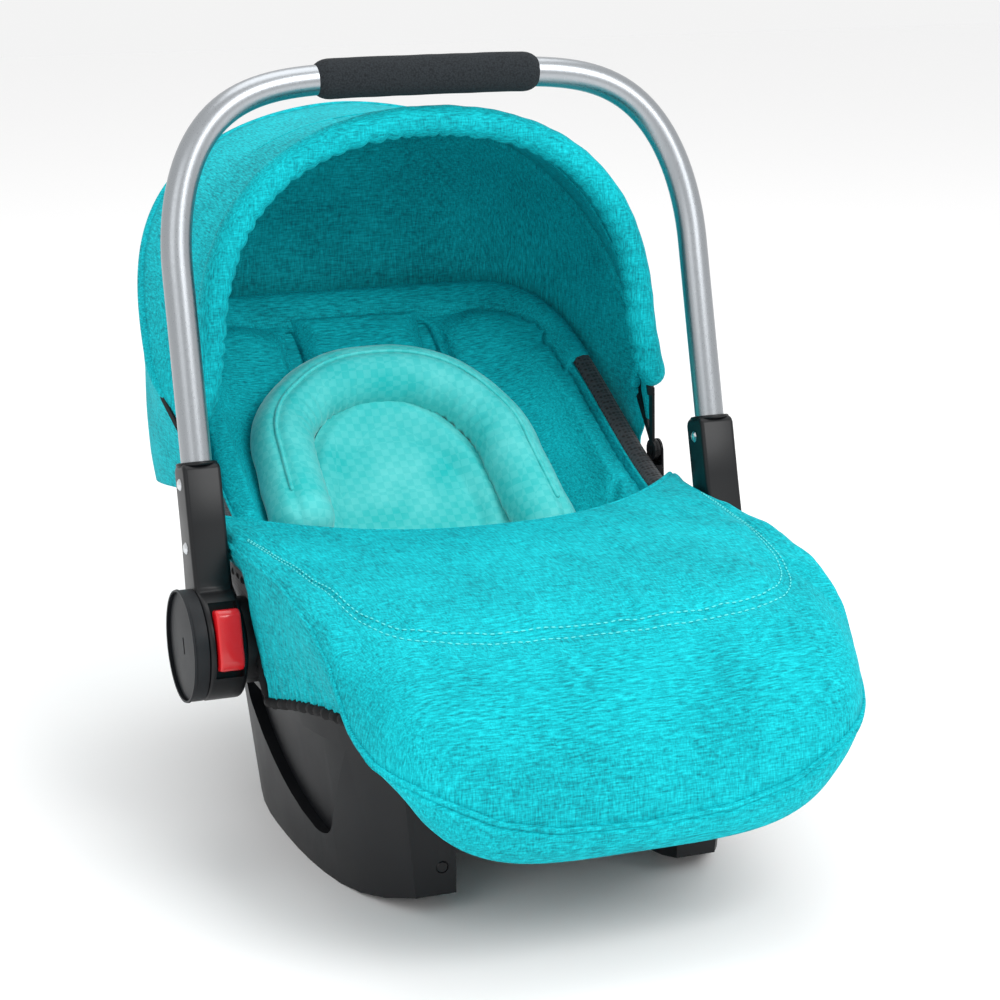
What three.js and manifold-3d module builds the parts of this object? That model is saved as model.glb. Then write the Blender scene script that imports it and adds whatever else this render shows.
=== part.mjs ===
// Infant car seat: rocker base, bucket shell, padded liner, swivelling carry handle,
// two-bow folding canopy, lift-off foot cover and lift-out newborn insert.
// Millimetres, +Z up, +X the child's left, -Y the foot end. The origin is on the ground
// under the middle of the seat.
import * as THREE from 'three';
import { mergeVertices } from 'three/addons/utils/BufferGeometryUtils.js';
import Module from 'manifold-3d';

const wasm = await Module();
wasm.setup();

// ---- Driving sizes -------------------------------------------------------------------------
const GAP = 0.35;                  // air left between pieces that touch

const HUB_Y = -20;                 // handle pivot axis, along X
const HUB_Z = 153;
const HUB_RADIUS = 40;
const SHELL_HALF_WIDTH = 176;      // bucket, outside, at its rim
const HUB_INNER_X = SHELL_HALF_WIDTH + 10;    // inner face of the arm's hub
const ARM_OUTER_X = HUB_INNER_X + 27.5;       // outer face of the arm
const COVER_OUTER_X = ARM_OUTER_X + 8.5;      // outer face of the hub cover
const AXLE_RADIUS = 8;

const TUBE_RADIUS = 11;            // handle tube
const HANDLE_HALF_SPAN = HUB_INNER_X + 14;    // tube centreline to the middle plane
const HANDLE_REACH = 395;          // hub axis to the tube centreline at the top
const LEG_LENGTH = HANDLE_REACH - 134;        // hub axis to the start of the arch
const ARCH_SHARE = 0.78;           // part of the tube's curve parameter spent on the arch
const ARCH_SIDE_POWER = 5.05;      // how square the arch's shoulders are
const ARCH_TOP_POWER = 2.03;
const HANDLE_LEAN = 15.6;          // degrees towards the head end, carry position
const SOCKET_TOP = 127;            // hub axis to the mouth of the arm's socket
const SOCKET_DEPTH = 66;           // how far the tube runs into the socket
const GRIP_RADIUS = 14.6;
const GRIP_HALF_LENGTH = 91;

const SHELL_HEAD_Y = 285;          // ends of the bucket
const SHELL_FOOT_Y = -250;
const SHELL_MIDDLE_Y = 60;         // where the bucket is widest
const SHELL_WALL = 3.5;
const RIM_Z = 203;                 // rim height over the foot end
const RIM_RISE = 0.54;             // slope of the rim towards the head end
const LINER_THICKNESS = 8;         // expanded foam liner
const PAD_THICKNESS = 15;          // seat cover padding
const BACK_SLOPE = 0.9;            // seat back, rise over run
const THIGH_SLOPE = 0.42;

const BASE_HALF_WIDTH = SHELL_HALF_WIDTH - 26;   // rocker base at the ground
const BASE_MIDDLE_Y = -10;
const BASE_FRONT_Y = -192;         // flat front face of the rocker legs
const BASE_REAR_Y = 172;
const BASE_WALL = 3.6;
const BASE_DRAFT = 0.13;           // widening from the ground to the seam
const BASE_SEAM_DROP = 74;         // rim to the base's upper edge
const LEG_INNER_X = BASE_HALF_WIDTH - 68;     // inner face of the rocker legs

const PIVOT_Y = 75;                // canopy pivot axis, along X
const PIVOT_Z = 237;
const ROLL_RADIUS = 11;            // gathered front edge of the canopy
const BOW_RADIUS = 3;
const FRONT_TILT = 2.5;            // degrees back from upright, canopy open
const REAR_TILT = 41;
const SKIRT_TILT = 100;
const CANOPY_HEIGHT = 262.7;       // pivot to the top of the front edge
const CANOPY_FALL = 11.4;          // the rear bow's top is this much lower
const CANOPY_WALL = 2.5;
const BORDER_WALL = 2.25;          // mesh border over the rim
const BORDER_DROP = 50;

const COVER_HALF_WIDTH = SHELL_HALF_WIDTH + 7.5;   // foot cover, outside
const COVER_WALL = 4.5;
const COVER_FOOT_Y = SHELL_FOOT_Y - 70;
const COVER_TOP_Z = 232;
const COVER_LOW_Z = 80;
const COVER_FRONT_Z = 106;         // seam round the cover at the foot end
const INSERT_ROLL_RADIUS = 24;
const WEB_THICKNESS = 1.5;         // harness webbing
const WEB_WIDTH = 25;
const STRAP_X = 31;                // shoulder straps to the middle plane
const SLOT_Y = 150;                // where the shoulder straps pass through the back

// ---- Solids --------------------------------------------------------------------------------

/** A three.js geometry as a Manifold: shared vertices merged, slivers dropped, faces out. */
function solid(geometry) {
  const bare = geometry.clone();
  bare.deleteAttribute('normal');
  bare.deleteAttribute('uv');
  const merged = mergeVertices(bare, 1e-4);
  const vertProperties = new Float32Array(merged.attributes.position.array);
  const source = merged.index.array;
  const kept = [];
  for (let i = 0; i < source.length; i += 3) {
    const [a, b, c] = [source[i], source[i + 1], source[i + 2]];
    if (a !== b && b !== c && c !== a) kept.push(a, b, c);
  }
  const build = (tris) => new wasm.Manifold(
    new wasm.Mesh({ numProp: 3, vertProperties, triVerts: new Uint32Array(tris) }));
  const first = build(kept);
  if (first.volume() > 0) return first;
  const flipped = [];
  for (let i = 0; i < kept.length; i += 3) flipped.push(kept[i], kept[i + 2], kept[i + 1]);
  return build(flipped);
}

/** A Manifold back as a three.js geometry. */
function geometryOf(manifold) {
  const mesh = manifold.getMesh();
  const geometry = new THREE.BufferGeometry();
  geometry.setAttribute('position', new THREE.BufferAttribute(new Float32Array(mesh.vertProperties), 3));
  geometry.setIndex(new THREE.BufferAttribute(new Uint32Array(mesh.triVerts), 1));
  geometry.computeVertexNormals();
  return geometry;
}

/** A unit box with nu x nv x nw cells whose corners (u, v, w), each 0 to 1, go to shape(u, v, w). */
function bentBox(nu, nv, nw, shape) {
  const geometry = new THREE.BoxGeometry(1, 1, 1, nu, nv, nw);
  const position = geometry.attributes.position;
  for (let i = 0; i < position.count; i += 1) {
    const p = shape(position.getX(i) + 0.5, position.getY(i) + 0.5, position.getZ(i) + 0.5);
    position.setXYZ(i, p.x, p.y, p.z);
  }
  return solid(geometry);
}

const vec = (x, y, z) => new THREE.Vector3(x, y, z);
const mix = THREE.MathUtils.lerp;
const radians = THREE.MathUtils.degToRad;

function moved(geometry, x, y, z) {
  return geometry.translate(x, y, z);
}

function box(x0, x1, y0, y1, z0, z1) {
  const geometry = new THREE.BoxGeometry(x1 - x0, y1 - y0, z1 - z0);
  return solid(moved(geometry, (x0 + x1) / 2, (y0 + y1) / 2, (z0 + z1) / 2));
}

/** A cylinder along X between two planes. */
function cylinderX(radius, x0, x1, y, z, sides = 32) {
  const geometry = new THREE.CylinderGeometry(radius, radius, Math.abs(x1 - x0), sides);
  geometry.rotateZ(Math.PI / 2);
  return solid(moved(geometry, (x0 + x1) / 2, y, z));
}

/** A body of revolution about X: profile points are [radius, x]. */
function latheX(profile, y, z, sides = 40) {
  const geometry = new THREE.LatheGeometry(profile.map(([r, x]) => new THREE.Vector2(r, x)), sides);
  geometry.rotateZ(-Math.PI / 2);
  return solid(moved(geometry, 0, y, z));
}

/** A round or shaped section swept along a curve. */
function sweep(curve, radius, steps, sides) {
  const section = new THREE.Shape();
  section.absarc(0, 0, radius, 0, 2 * Math.PI, false);
  return solid(new THREE.ExtrudeGeometry(section, {
    steps, extrudePath: curve, curveSegments: sides, bevelEnabled: false,
  }));
}

/** An outline given in (Y, Z), extruded along X between two planes, with rounded edges. */
function plateX(outline, x0, x1, bevel = 0) {
  const geometry = new THREE.ExtrudeGeometry(outline, {
    depth: x1 - x0 - 2 * bevel, bevelEnabled: bevel > 0, bevelSize: bevel, bevelOffset: -bevel,
    bevelThickness: bevel, bevelSegments: 1, curveSegments: 7,
  });
  geometry.applyMatrix4(new THREE.Matrix4().set(
    0, 0, 1, x0 + bevel,
    1, 0, 0, 0,
    0, 1, 0, 0,
    0, 0, 0, 1));
  return solid(geometry);
}

// ---- Curved surfaces of the seat -----------------------------------------------------------

/** Half width of a rounded plan outline at y: full at the middle, closing at both ends. */
function planHalfWidth(y, middle, front, rear, half, frontPower, rearPower) {
  const length = y < middle ? middle - front : rear - middle;
  const power = y < middle ? frontPower : rearPower;
  const u = Math.min(Math.abs(y - middle) / length, 1);
  return half * (1 - u ** power) ** (1 / power);
}

/** 0 well before the bend, t well after it, and smooth between. */
const ramp = (t, softness) => (t + Math.sqrt(t * t + softness * softness)) / 2;

const RIM_BEND_Y = 38;
const RIM_DIP_Y = -130;            // the rim drops away towards the foot end from here
const rimLine = (y) => RIM_Z - 2 + RIM_RISE * ramp(y - RIM_BEND_Y, 60);
const rimZ = (y) => rimLine(y) - 0.0022 * Math.max(RIM_DIP_Y - y, 0) ** 2;

const BACK_TOP_Y = 270;
const BACK_TOP_Z = 328;
/** The top of the padding along the middle: thigh slope and back slope, blended. */
function seatLineZ(y) {
  const back = BACK_TOP_Z + BACK_SLOPE * (y - BACK_TOP_Y);
  const thigh = 67 - THIGH_SLOPE * (y + 60);
  return (back + thigh) / 2 + Math.hypot((back - thigh) / 2, 18);
}

const SECTION_SIDE_POWER = 3.2;
const SECTION_FLOOR_POWER = 1.7;
const PAD_TOP = SHELL_WALL + LINER_THICKNESS + PAD_THICKNESS + 1.5;   // shell outside to pad top

const shellHalfWidth = (y, inset) => planHalfWidth(
  y, SHELL_MIDDLE_Y, SHELL_FOOT_Y - 4 + inset, SHELL_HEAD_Y + 4 - inset, SHELL_HALF_WIDTH - inset, 3.2, 6);
const shellDepth = (y, inset) => Math.max(rimZ(y) - seatLineZ(y) + PAD_TOP - inset, 1);

/** Height of the bucket's skin, inset from the outside, at x. */
function bucketZ(x, y, inset) {
  const share = Math.min(Math.abs(x) / shellHalfWidth(y, inset), 1);
  const fall = (1 - share ** SECTION_SIDE_POWER) ** (1 / SECTION_FLOOR_POWER);
  return rimZ(y) - shellDepth(y, inset) * fall;
}

/** x across the bucket for u from -1 to 1, with points crowded towards the steep sides. */
const spread = (u) => Math.sin(u * Math.PI / 2);

/** Everything inside the bucket's skin at this inset, from its floor up to `above` over the rim. */
function bucketFill(inset, above, across, along) {
  const y0 = SHELL_FOOT_Y + inset;
  const y1 = SHELL_HEAD_Y - inset;
  return bentBox(across, along, 1, (u, v, w) => {
    const y = mix(y0, y1, v);
    const x = shellHalfWidth(y, inset) * spread(2 * u - 1);
    return vec(x, y, mix(bucketZ(x, y, inset), rimZ(y) + above, w));
  });
}

const baseHalfWidth = (y, z, inset) => planHalfWidth(
  y, BASE_MIDDLE_Y, BASE_MIDDLE_Y - 232 + inset, BASE_REAR_Y + 8 - inset, BASE_HALF_WIDTH - inset, 2.5, 2.5)
  * (1 + BASE_DRAFT * z / 140);

const FLAT_FRONT_Y = -110;         // the rocker rests flat between these
const FLAT_REAR_Y = 76;
/** Underside of the rocker: flat in the middle, curving up to both ends. */
function rockerZ(y) {
  if (y < FLAT_FRONT_Y) return 0.0021 * (y - FLAT_FRONT_Y) ** 2;
  if (y > FLAT_REAR_Y) return 0.0052 * (y - FLAT_REAR_Y) ** 2;
  return 0;
}

/** The base's outer form, or the same inset by a wall. */
function baseFill(inset, z0, z1, across, along) {
  const y0 = BASE_FRONT_Y + inset;
  const y1 = BASE_REAR_Y - inset;
  return bentBox(across, along, 1, (u, v, w) => {
    const y = mix(y0, y1, v);
    const z = mix(z0(y), z1(y), w);
    return vec(baseHalfWidth(y, z, inset) * spread(2 * u - 1), y, z);
  });
}

// ---- Nodes ---------------------------------------------------------------------------------

const paint = (color, roughness, metalness = 0) => (
  new THREE.MeshStandardMaterial({ color, roughness, metalness }));
const BLACK_PLASTIC = ['#15181c', 0.42];
const GREY_PLASTIC = ['#2e3238', 0.62];
const DISC_PLASTIC = ['#464b50', 0.5];
const RED_PLASTIC = ['#d3121c', 0.25];
const ALUMINIUM = ['#d7dadd', 0.32, 1];
const STEEL = ['#c4c8cc', 0.3, 1];
const FOAM = ['#2f343a', 0.95];
const WHITE_FOAM = ['#e9e9e6', 0.9];
const TEAL = ['#00a5ab', 0.9];
const MINT = ['#6fdcd2', 0.8];
const MESH_BLACK = ['#1b1d20', 0.9];
const WEBBING = ['#24272b', 0.8];

const seat = new THREE.Group();
const handle = new THREE.Group();
handle.position.set(0, HUB_Y, HUB_Z);
handle.rotation.x = -radians(HANDLE_LEAN);
seat.add(handle);

function add(parent, name, manifold, finish) {
  const mesh = new THREE.Mesh(geometryOf(manifold), paint(...finish));
  mesh.name = name;
  parent.add(mesh);
}

/** Adds the same piece on both sides; make(sign, side) builds it for x > 0 or x < 0. */
function addPair(parent, name, make, finish) {
  [['left', -1], ['right', 1]].forEach(([side, sign]) => add(parent, `${name}_${side}`, make(sign), finish));
}

const onSide = (sign, manifold) => (sign > 0 ? manifold : manifold.mirror([1, 0, 0]));
const without = (manifold, cutters) => cutters.reduce((rest, cutter) => rest.subtract(cutter), manifold);

// Bucket shell: one moulding, open at the top, with harness slots.
const ACROSS = 10;
const ALONG = 15;
const CROTCH_Y = -88;
const SLOT_HALF_HEIGHT = 3;
const slotZ = seatLineZ(SLOT_Y);
const shoulderSlots = [-STRAP_X, STRAP_X].map((x) => box(
  x - WEB_WIDTH / 2 - 1.5, x + WEB_WIDTH / 2 + 1.5, SLOT_Y - 12, SLOT_Y + 46,
  slotZ - SLOT_HALF_HEIGHT, slotZ + SLOT_HALF_HEIGHT));
const crotchSlot = box(
  -WEB_WIDTH / 2 - 1.5, WEB_WIDTH / 2 + 1.5, CROTCH_Y - 3, CROTCH_Y + 3,
  20, seatLineZ(CROTCH_Y) + 20);
const adjusterY = SHELL_FOOT_Y + 36;
const adjusterSlot = box(
  -WEB_WIDTH / 2 - 1.5, WEB_WIDTH / 2 + 1.5, adjusterY - 3, adjusterY + 3,
  60, seatLineZ(adjusterY) + 20);
const slots = [...shoulderSlots, crotchSlot, adjusterSlot];
const shellClear = bucketFill(-GAP, 0, ACROSS, ALONG);
const hollowOf = (inset) => bucketFill(inset, 60, ACROSS, ALONG);
const shell = bucketFill(0, 0, ACROSS, ALONG).subtract(hollowOf(SHELL_WALL));
add(seat, 'seat_shell', without(shell, slots), GREY_PLASTIC);

// Rocker base: a drafted wall round the bucket, two legs with soles, a scooped panel each side.
const SCOOP_DEPTH = 8;
const SCOOP_BACKING = 11.8;
const BASE_ACROSS = 10;
const BASE_ALONG = 15;
const SCREW_HEAD_RADIUS = 4.5;
const SCREW_SHANK_RADIUS = 1.8;
const SCREW_DEPTH = 9;
const SCREW_Z = 34;
const UPPER_SCREW_Z = 106;
const screwPlaces = [[-LEG_INNER_X - 22, UPPER_SCREW_Z], [-LEG_INNER_X - 10, SCREW_Z],
  [LEG_INNER_X + 10, SCREW_Z], [LEG_INNER_X + 22, UPPER_SCREW_Z]];
function scoopOutline(grow) {
  const outline = new THREE.Shape();
  outline.moveTo(38 + grow, 112 + grow);
  outline.lineTo(30 + grow, 92);
  outline.quadraticCurveTo(-20 + grow, 50 - grow, -92, 33 - grow);
  outline.quadraticCurveTo(-114 - grow, 30 - grow, -120 - grow, 48);
  outline.quadraticCurveTo(-134 - grow, 80, -150 - grow, 112 + grow);
  outline.closePath();
  return outline;
}
function rockerBase() {
  const seam = (y) => rimLine(y) - BASE_SEAM_DROP;
  const under = () => -5;
  const over = () => 330;
  const outer = baseFill(0, rockerZ, seam, BASE_ACROSS, BASE_ALONG);
  const inset = (depth) => baseFill(depth, under, over, BASE_ACROSS, BASE_ALONG);
  let part = outer.subtract(inset(BASE_WALL));
  const sole = baseFill(0, rockerZ, (y) => rockerZ(y) + BASE_WALL, BASE_ACROSS, BASE_ALONG);
  [-1, 1].forEach((sign) => {
    const innerWall = onSide(sign, box(LEG_INNER_X, LEG_INNER_X + BASE_WALL, BASE_FRONT_Y, 120, -1, 140));
    const legBand = onSide(sign, box(LEG_INNER_X, 220, BASE_FRONT_Y, 120, -1, 200));
    part = part.add(outer.intersect(innerWall)).add(sole.intersect(legBand));
    const scoop = (grow) => onSide(sign, plateX(scoopOutline(grow), 95, 205));
    part = part.add(scoop(BASE_WALL).intersect(outer.subtract(inset(SCOOP_BACKING))));
    part = part.subtract(scoop(0).subtract(inset(SCOOP_DEPTH)));
  });
  const arch = box(-LEG_INNER_X, LEG_INNER_X, BASE_FRONT_Y - 5, BASE_FRONT_Y + 20, -1, 58);
  const holes = screwPlaces.map(([x, z]) => screwAt(x, z, GAP));
  const strapZ = seatLineZ(BASE_FRONT_Y) - PAD_TOP - 8;
  const window = box(
    -WEB_WIDTH / 2 - 3, WEB_WIDTH / 2 + 3, BASE_FRONT_Y - 5, BASE_FRONT_Y + 20, strapZ - 6, strapZ + 6);
  const notchX = STRAP_X + WEB_WIDTH;
  const notch = box(-notchX, notchX, BASE_REAR_Y - 14, BASE_REAR_Y + 5, seam(BASE_REAR_Y) - 18, 260);
  return without(part, [arch, window, notch, shellClear, ...holes]);
}
/** A pan-head screw into the flat front face of a rocker leg, or the hole for it. */
function screwAt(x, z, clearance) {
  const head = SCREW_HEAD_RADIUS + clearance;
  const shank = SCREW_SHANK_RADIUS + clearance;
  const profile = [[0, -0.4 - clearance], [head - 1, -0.4 - clearance], [head, 0.6 - clearance],
    [head, 1.4 + clearance], [shank, 1.4 + clearance], [shank, SCREW_DEPTH + clearance], [0, SCREW_DEPTH + clearance]];
  const geometry = new THREE.LatheGeometry(profile.map(([r, d]) => new THREE.Vector2(r, d)), 10);
  return solid(moved(geometry, x, BASE_FRONT_Y, z));
}
add(seat, 'rocker_base', rockerBase(), GREY_PLASTIC);
screwPlaces.forEach(([x, z], i) => add(seat, `base_screw_${i + 1}`, screwAt(x, z, 0), STEEL));

// Handle pivots: a boss on each side of the shell with the axle that carries the arm.
const BOSS_RADIUS = 31;
const AXLE_END_X = ARM_OUTER_X - 1.5;
function hubPivot(sign) {
  const root = HUB_INNER_X - 36;
  const face = HUB_INNER_X - GAP;
  const profile = [[0, root], [BOSS_RADIUS, root], [BOSS_RADIUS, face - 2], [BOSS_RADIUS - 2, face],
    [AXLE_RADIUS, face], [AXLE_RADIUS, AXLE_END_X], [0, AXLE_END_X]];
  const boss = onSide(sign, latheX(profile, HUB_Y, HUB_Z, 24));
  const seamClear = (y) => rimLine(y) - BASE_SEAM_DROP + GAP;
  const baseClear = baseFill(-GAP, () => -5, seamClear, BASE_ACROSS, BASE_ALONG);
  return boss.subtract(shellClear).subtract(baseClear);
}
addPair(seat, 'hub_pivot', hubPivot, GREY_PLASTIC);

// Handle, drawn upright about the hub axis: arms, tube, foam grip, covers, rivets, buttons.
const ARM_HALF_DEPTH = 14;
const ARM_BEVEL = 2.5;
const RIVET_HEIGHTS = [['lower', SOCKET_TOP - 59], ['upper', SOCKET_TOP - 14]];
const RIVET_RADIUS = 2;
const RIVET_HEAD_RADIUS = 4.4;
const BUTTON_X = [HUB_INNER_X + 4, HUB_INNER_X + 22];
const BUTTON_Z = [-19, 24];
const BUTTON_FACE_Y = -45.5;
const BUTTON_BACK_Y = -31;
const BUTTON_TRAVEL = 4;
const POCKET_Y = -23;
const SPRING_RADIUS = 4;
const SPRING_WIRE_RADIUS = 0.6;
const SPRING_TURNS = 3;
const buttonX = (BUTTON_X[0] + BUTTON_X[1]) / 2;
const buttonZ = (BUTTON_Z[0] + BUTTON_Z[1]) / 2;

/** Centreline of the handle tube, from one socket floor to the other. */
class HandleCurve extends THREE.Curve {
  constructor(span = 1) {
    super();
    this.span = span;
  }

  getPoint(t, target = new THREE.Vector3()) {
    const s = (2 * t - 1) * this.span;
    const low = SOCKET_TOP - SOCKET_DEPTH;
    if (Math.abs(s) > ARCH_SHARE) {
      const f = (1 - Math.abs(s)) / (1 - ARCH_SHARE);
      return target.set(Math.sign(s) * HANDLE_HALF_SPAN, 0, mix(low, LEG_LENGTH, f));
    }
    const a = (1 - s / ARCH_SHARE) * Math.PI / 2;
    const c = Math.cos(a);
    return target.set(
      Math.sign(c) * HANDLE_HALF_SPAN * Math.abs(c) ** (2 / ARCH_SIDE_POWER), 0,
      LEG_LENGTH + (HANDLE_REACH - LEG_LENGTH) * Math.sin(a) ** (2 / ARCH_TOP_POWER));
  }
}
const rivetHoles = [-1, 1].flatMap((sign) => RIVET_HEIGHTS.map(([, z]) => onSide(sign,
  cylinderX(RIVET_RADIUS + GAP, HUB_INNER_X - 5, ARM_OUTER_X + 5, 0, z, 8))));
add(handle, 'handle_tube', without(sweep(new HandleCurve(), TUBE_RADIUS, 34, 6), rivetHoles), ALUMINIUM);

const gripShare = (GRIP_HALF_LENGTH / HANDLE_HALF_SPAN) ** (ARCH_SIDE_POWER / 2);
const gripSpan = ARCH_SHARE * (2 / Math.PI) * Math.asin(gripShare);
const grip = sweep(new HandleCurve(gripSpan), GRIP_RADIUS, 8, 6);
const gripCore = sweep(new HandleCurve(gripSpan * 1.1), TUBE_RADIUS + GAP + 0.5, 8, 6);
add(handle, 'handle_grip', grip.subtract(gripCore), FOAM);

function armOutline() {
  const outline = new THREE.Shape();
  const start = radians(112);
  outline.absarc(0, 0, HUB_RADIUS, start, 2 * Math.PI + radians(68), false);
  outline.quadraticCurveTo(ARM_HALF_DEPTH, 56, ARM_HALF_DEPTH, 84);
  outline.lineTo(ARM_HALF_DEPTH, SOCKET_TOP);
  outline.lineTo(-ARM_HALF_DEPTH, SOCKET_TOP);
  outline.lineTo(-ARM_HALF_DEPTH, 84);
  outline.quadraticCurveTo(-ARM_HALF_DEPTH, 56, HUB_RADIUS * Math.cos(start), HUB_RADIUS * Math.sin(start));
  return outline;
}
function handleArm(sign) {
  const body = plateX(armOutline(), HUB_INNER_X, ARM_OUTER_X, ARM_BEVEL);
  const bore = new THREE.CylinderGeometry(TUBE_RADIUS + GAP, TUBE_RADIUS + GAP, SOCKET_DEPTH + 10, 24);
  bore.rotateX(Math.PI / 2);
  moved(bore, HANDLE_HALF_SPAN, 0, SOCKET_TOP - SOCKET_DEPTH / 2 + 4.5);
  const socket = solid(bore);
  const axle = cylinderX(AXLE_RADIUS + GAP, HUB_INNER_X - 5, ARM_OUTER_X + 5, 0, 0, 24);
  const [x0, x1] = BUTTON_X;
  const pocket = box(x0 - GAP, x1 + GAP, -60, POCKET_Y, BUTTON_Z[0] - GAP, BUTTON_Z[1] + GAP);
  return without(onSide(sign, without(body, [socket, axle, pocket])), rivetHoles);
}
addPair(handle, 'handle_arm', handleArm, BLACK_PLASTIC);

function hubCover(sign) {
  const x0 = ARM_OUTER_X + GAP;
  const profile = [[0, x0], [HUB_RADIUS - 0.3, x0], [HUB_RADIUS - 0.3, COVER_OUTER_X - 2.2],
    [HUB_RADIUS - 2.5, COVER_OUTER_X], [HUB_RADIUS - 7, COVER_OUTER_X], [HUB_RADIUS - 7.6, COVER_OUTER_X - 1],
    [HUB_RADIUS - 9, COVER_OUTER_X - 1], [HUB_RADIUS - 9.6, COVER_OUTER_X], [0, COVER_OUTER_X]];
  const disc = latheX(profile, 0, 0, 26);
  const mark = box(COVER_OUTER_X - 1.2, COVER_OUTER_X + 1, -2, 2, -7, 7);
  return onSide(sign, disc.subtract(mark));
}
addPair(handle, 'hub_cover', hubCover, DISC_PLASTIC);

RIVET_HEIGHTS.forEach(([height, z]) => {
  const inner = HUB_INNER_X - GAP;
  const outer = ARM_OUTER_X + GAP;
  const profile = [[0, inner - 1.8], [3, inner - 1.2], [RIVET_HEAD_RADIUS, inner], [RIVET_RADIUS, inner],
    [RIVET_RADIUS, outer], [RIVET_HEAD_RADIUS, outer], [3, outer + 1.2], [0, outer + 1.8]];
  addPair(handle, `arm_rivet_${height}`, (sign) => onSide(sign, latheX(profile, 0, z, 8)), STEEL);
});

function releaseButton(sign) {
  const outline = new THREE.Shape();
  const [low, high] = BUTTON_Z;
  outline.moveTo(BUTTON_BACK_Y, low);
  outline.lineTo(BUTTON_BACK_Y, high);
  outline.lineTo(BUTTON_FACE_Y + 3, high);
  outline.lineTo(BUTTON_FACE_Y, high - 4);
  outline.lineTo(BUTTON_FACE_Y, buttonZ - 4);
  outline.lineTo(BUTTON_FACE_Y + 2, buttonZ - 10);
  outline.lineTo(BUTTON_FACE_Y + 5, low);
  outline.closePath();
  const seatHole = new THREE.CylinderGeometry(SPRING_RADIUS + 1.2, SPRING_RADIUS + 1.2, 8, 16);
  moved(seatHole, buttonX, BUTTON_BACK_Y, buttonZ);
  return onSide(sign, plateX(outline, BUTTON_X[0], BUTTON_X[1], 1.2).subtract(solid(seatHole)));
}
addPair(handle, 'release_button', releaseButton, RED_PLASTIC);

/** A coil spring along Y between the button's seat and the pocket floor. */
class Helix extends THREE.Curve {
  getPoint(t, target = new THREE.Vector3()) {
    const a = t * SPRING_TURNS * 2 * Math.PI;
    const y = mix(BUTTON_BACK_Y - 4 + 1.1, POCKET_Y - 1.1, t);
    return target.set(buttonX + SPRING_RADIUS * Math.cos(a), y, buttonZ + SPRING_RADIUS * Math.sin(a));
  }
}
addPair(handle, 'button_spring', (sign) => onSide(sign, sweep(new Helix(), SPRING_WIRE_RADIUS, 26, 2)), STEEL);

// Canopy: clips, two bows, a gathered front edge and two fabric panels.
const STUD_X = SHELL_HALF_WIDTH + 3.2;
const CLIP_X = STUD_X + 5.5;
const CLIP_OUTER_X = CLIP_X + 1.6;
const EYELET_RADIUS = 8.5;
const STUD_RADIUS = 3.6;
const FRONT_EYELET_X = [STUD_X + 0.2, STUD_X + 2.4];
const REAR_EYELET_X = [STUD_X + 2.8, STUD_X + 5.1];
function canopyClip(sign) {
  const cheek = new THREE.Shape();
  cheek.moveTo(PIVOT_Y - 12, PIVOT_Z - 38);
  cheek.lineTo(PIVOT_Y + 12, PIVOT_Z - 38);
  cheek.lineTo(PIVOT_Y + 9, PIVOT_Z);
  cheek.absarc(PIVOT_Y, PIVOT_Z, 9, 0, Math.PI, false);
  cheek.closePath();
  const footTop = PIVOT_Z - EYELET_RADIUS - 1.5;
  const foot = box(STUD_X, CLIP_X + 0.1, PIVOT_Y - 10, PIVOT_Y + 10, PIVOT_Z - 36, footTop);
  const stud = cylinderX(STUD_RADIUS, STUD_X, CLIP_X + 0.1, PIVOT_Y, PIVOT_Z, 14);
  return onSide(sign, plateX(cheek, CLIP_X, CLIP_OUTER_X).add(foot).add(stud));
}
addPair(seat, 'canopy_clip', canopyClip, BLACK_PLASTIC);

const step01 = (a, b, t) => THREE.MathUtils.smoothstep(t, a, b);

/** Values between listed [tilt, value] pairs. */
function along(table, tilt) {
  let k = 1;
  while (k < table.length - 1 && tilt > table[k][0]) k += 1;
  const [t0, a] = table[k - 1];
  const [t1, b] = table[k];
  return mix(a, b, THREE.MathUtils.clamp((tilt - t0) / (t1 - t0), 0, 1));
}
/** Distance from the pivot to the top of the canopy at this tilt. */
function canopyReach(tilt) {
  const sag = along([[FRONT_TILT, 0], [22, 5], [REAR_TILT, 0]], tilt);
  if (tilt <= REAR_TILT) {
    const share = (tilt - FRONT_TILT) / (REAR_TILT - FRONT_TILT);
    return (CANOPY_HEIGHT - CANOPY_FALL * share) / Math.cos(radians(tilt)) + sag;
  }
  const height = CANOPY_HEIGHT - CANOPY_FALL;
  return along([[REAR_TILT, height / Math.cos(radians(REAR_TILT))], [50, 309], [58.5, 286.5], [68, 264],
    [76.5, 252], [92.4, 234], [SKIRT_TILT, 219]], tilt);
}
const canopyHalfWidth = (tilt) => SHELL_HALF_WIDTH
  + along([[FRONT_TILT, -3], [REAR_TILT, 23], [66, 14], [SKIRT_TILT, 8.5]], tilt);
const canopySidePower = (tilt) => along(
  [[FRONT_TILT, 2.1], [REAR_TILT, 1.8], [66, 3.4], [SKIRT_TILT, 5]], tilt);
const canopyTopPower = (tilt) => along([[FRONT_TILT, 4.1], [REAR_TILT, 4.4], [SKIRT_TILT, 5]], tilt);

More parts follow.
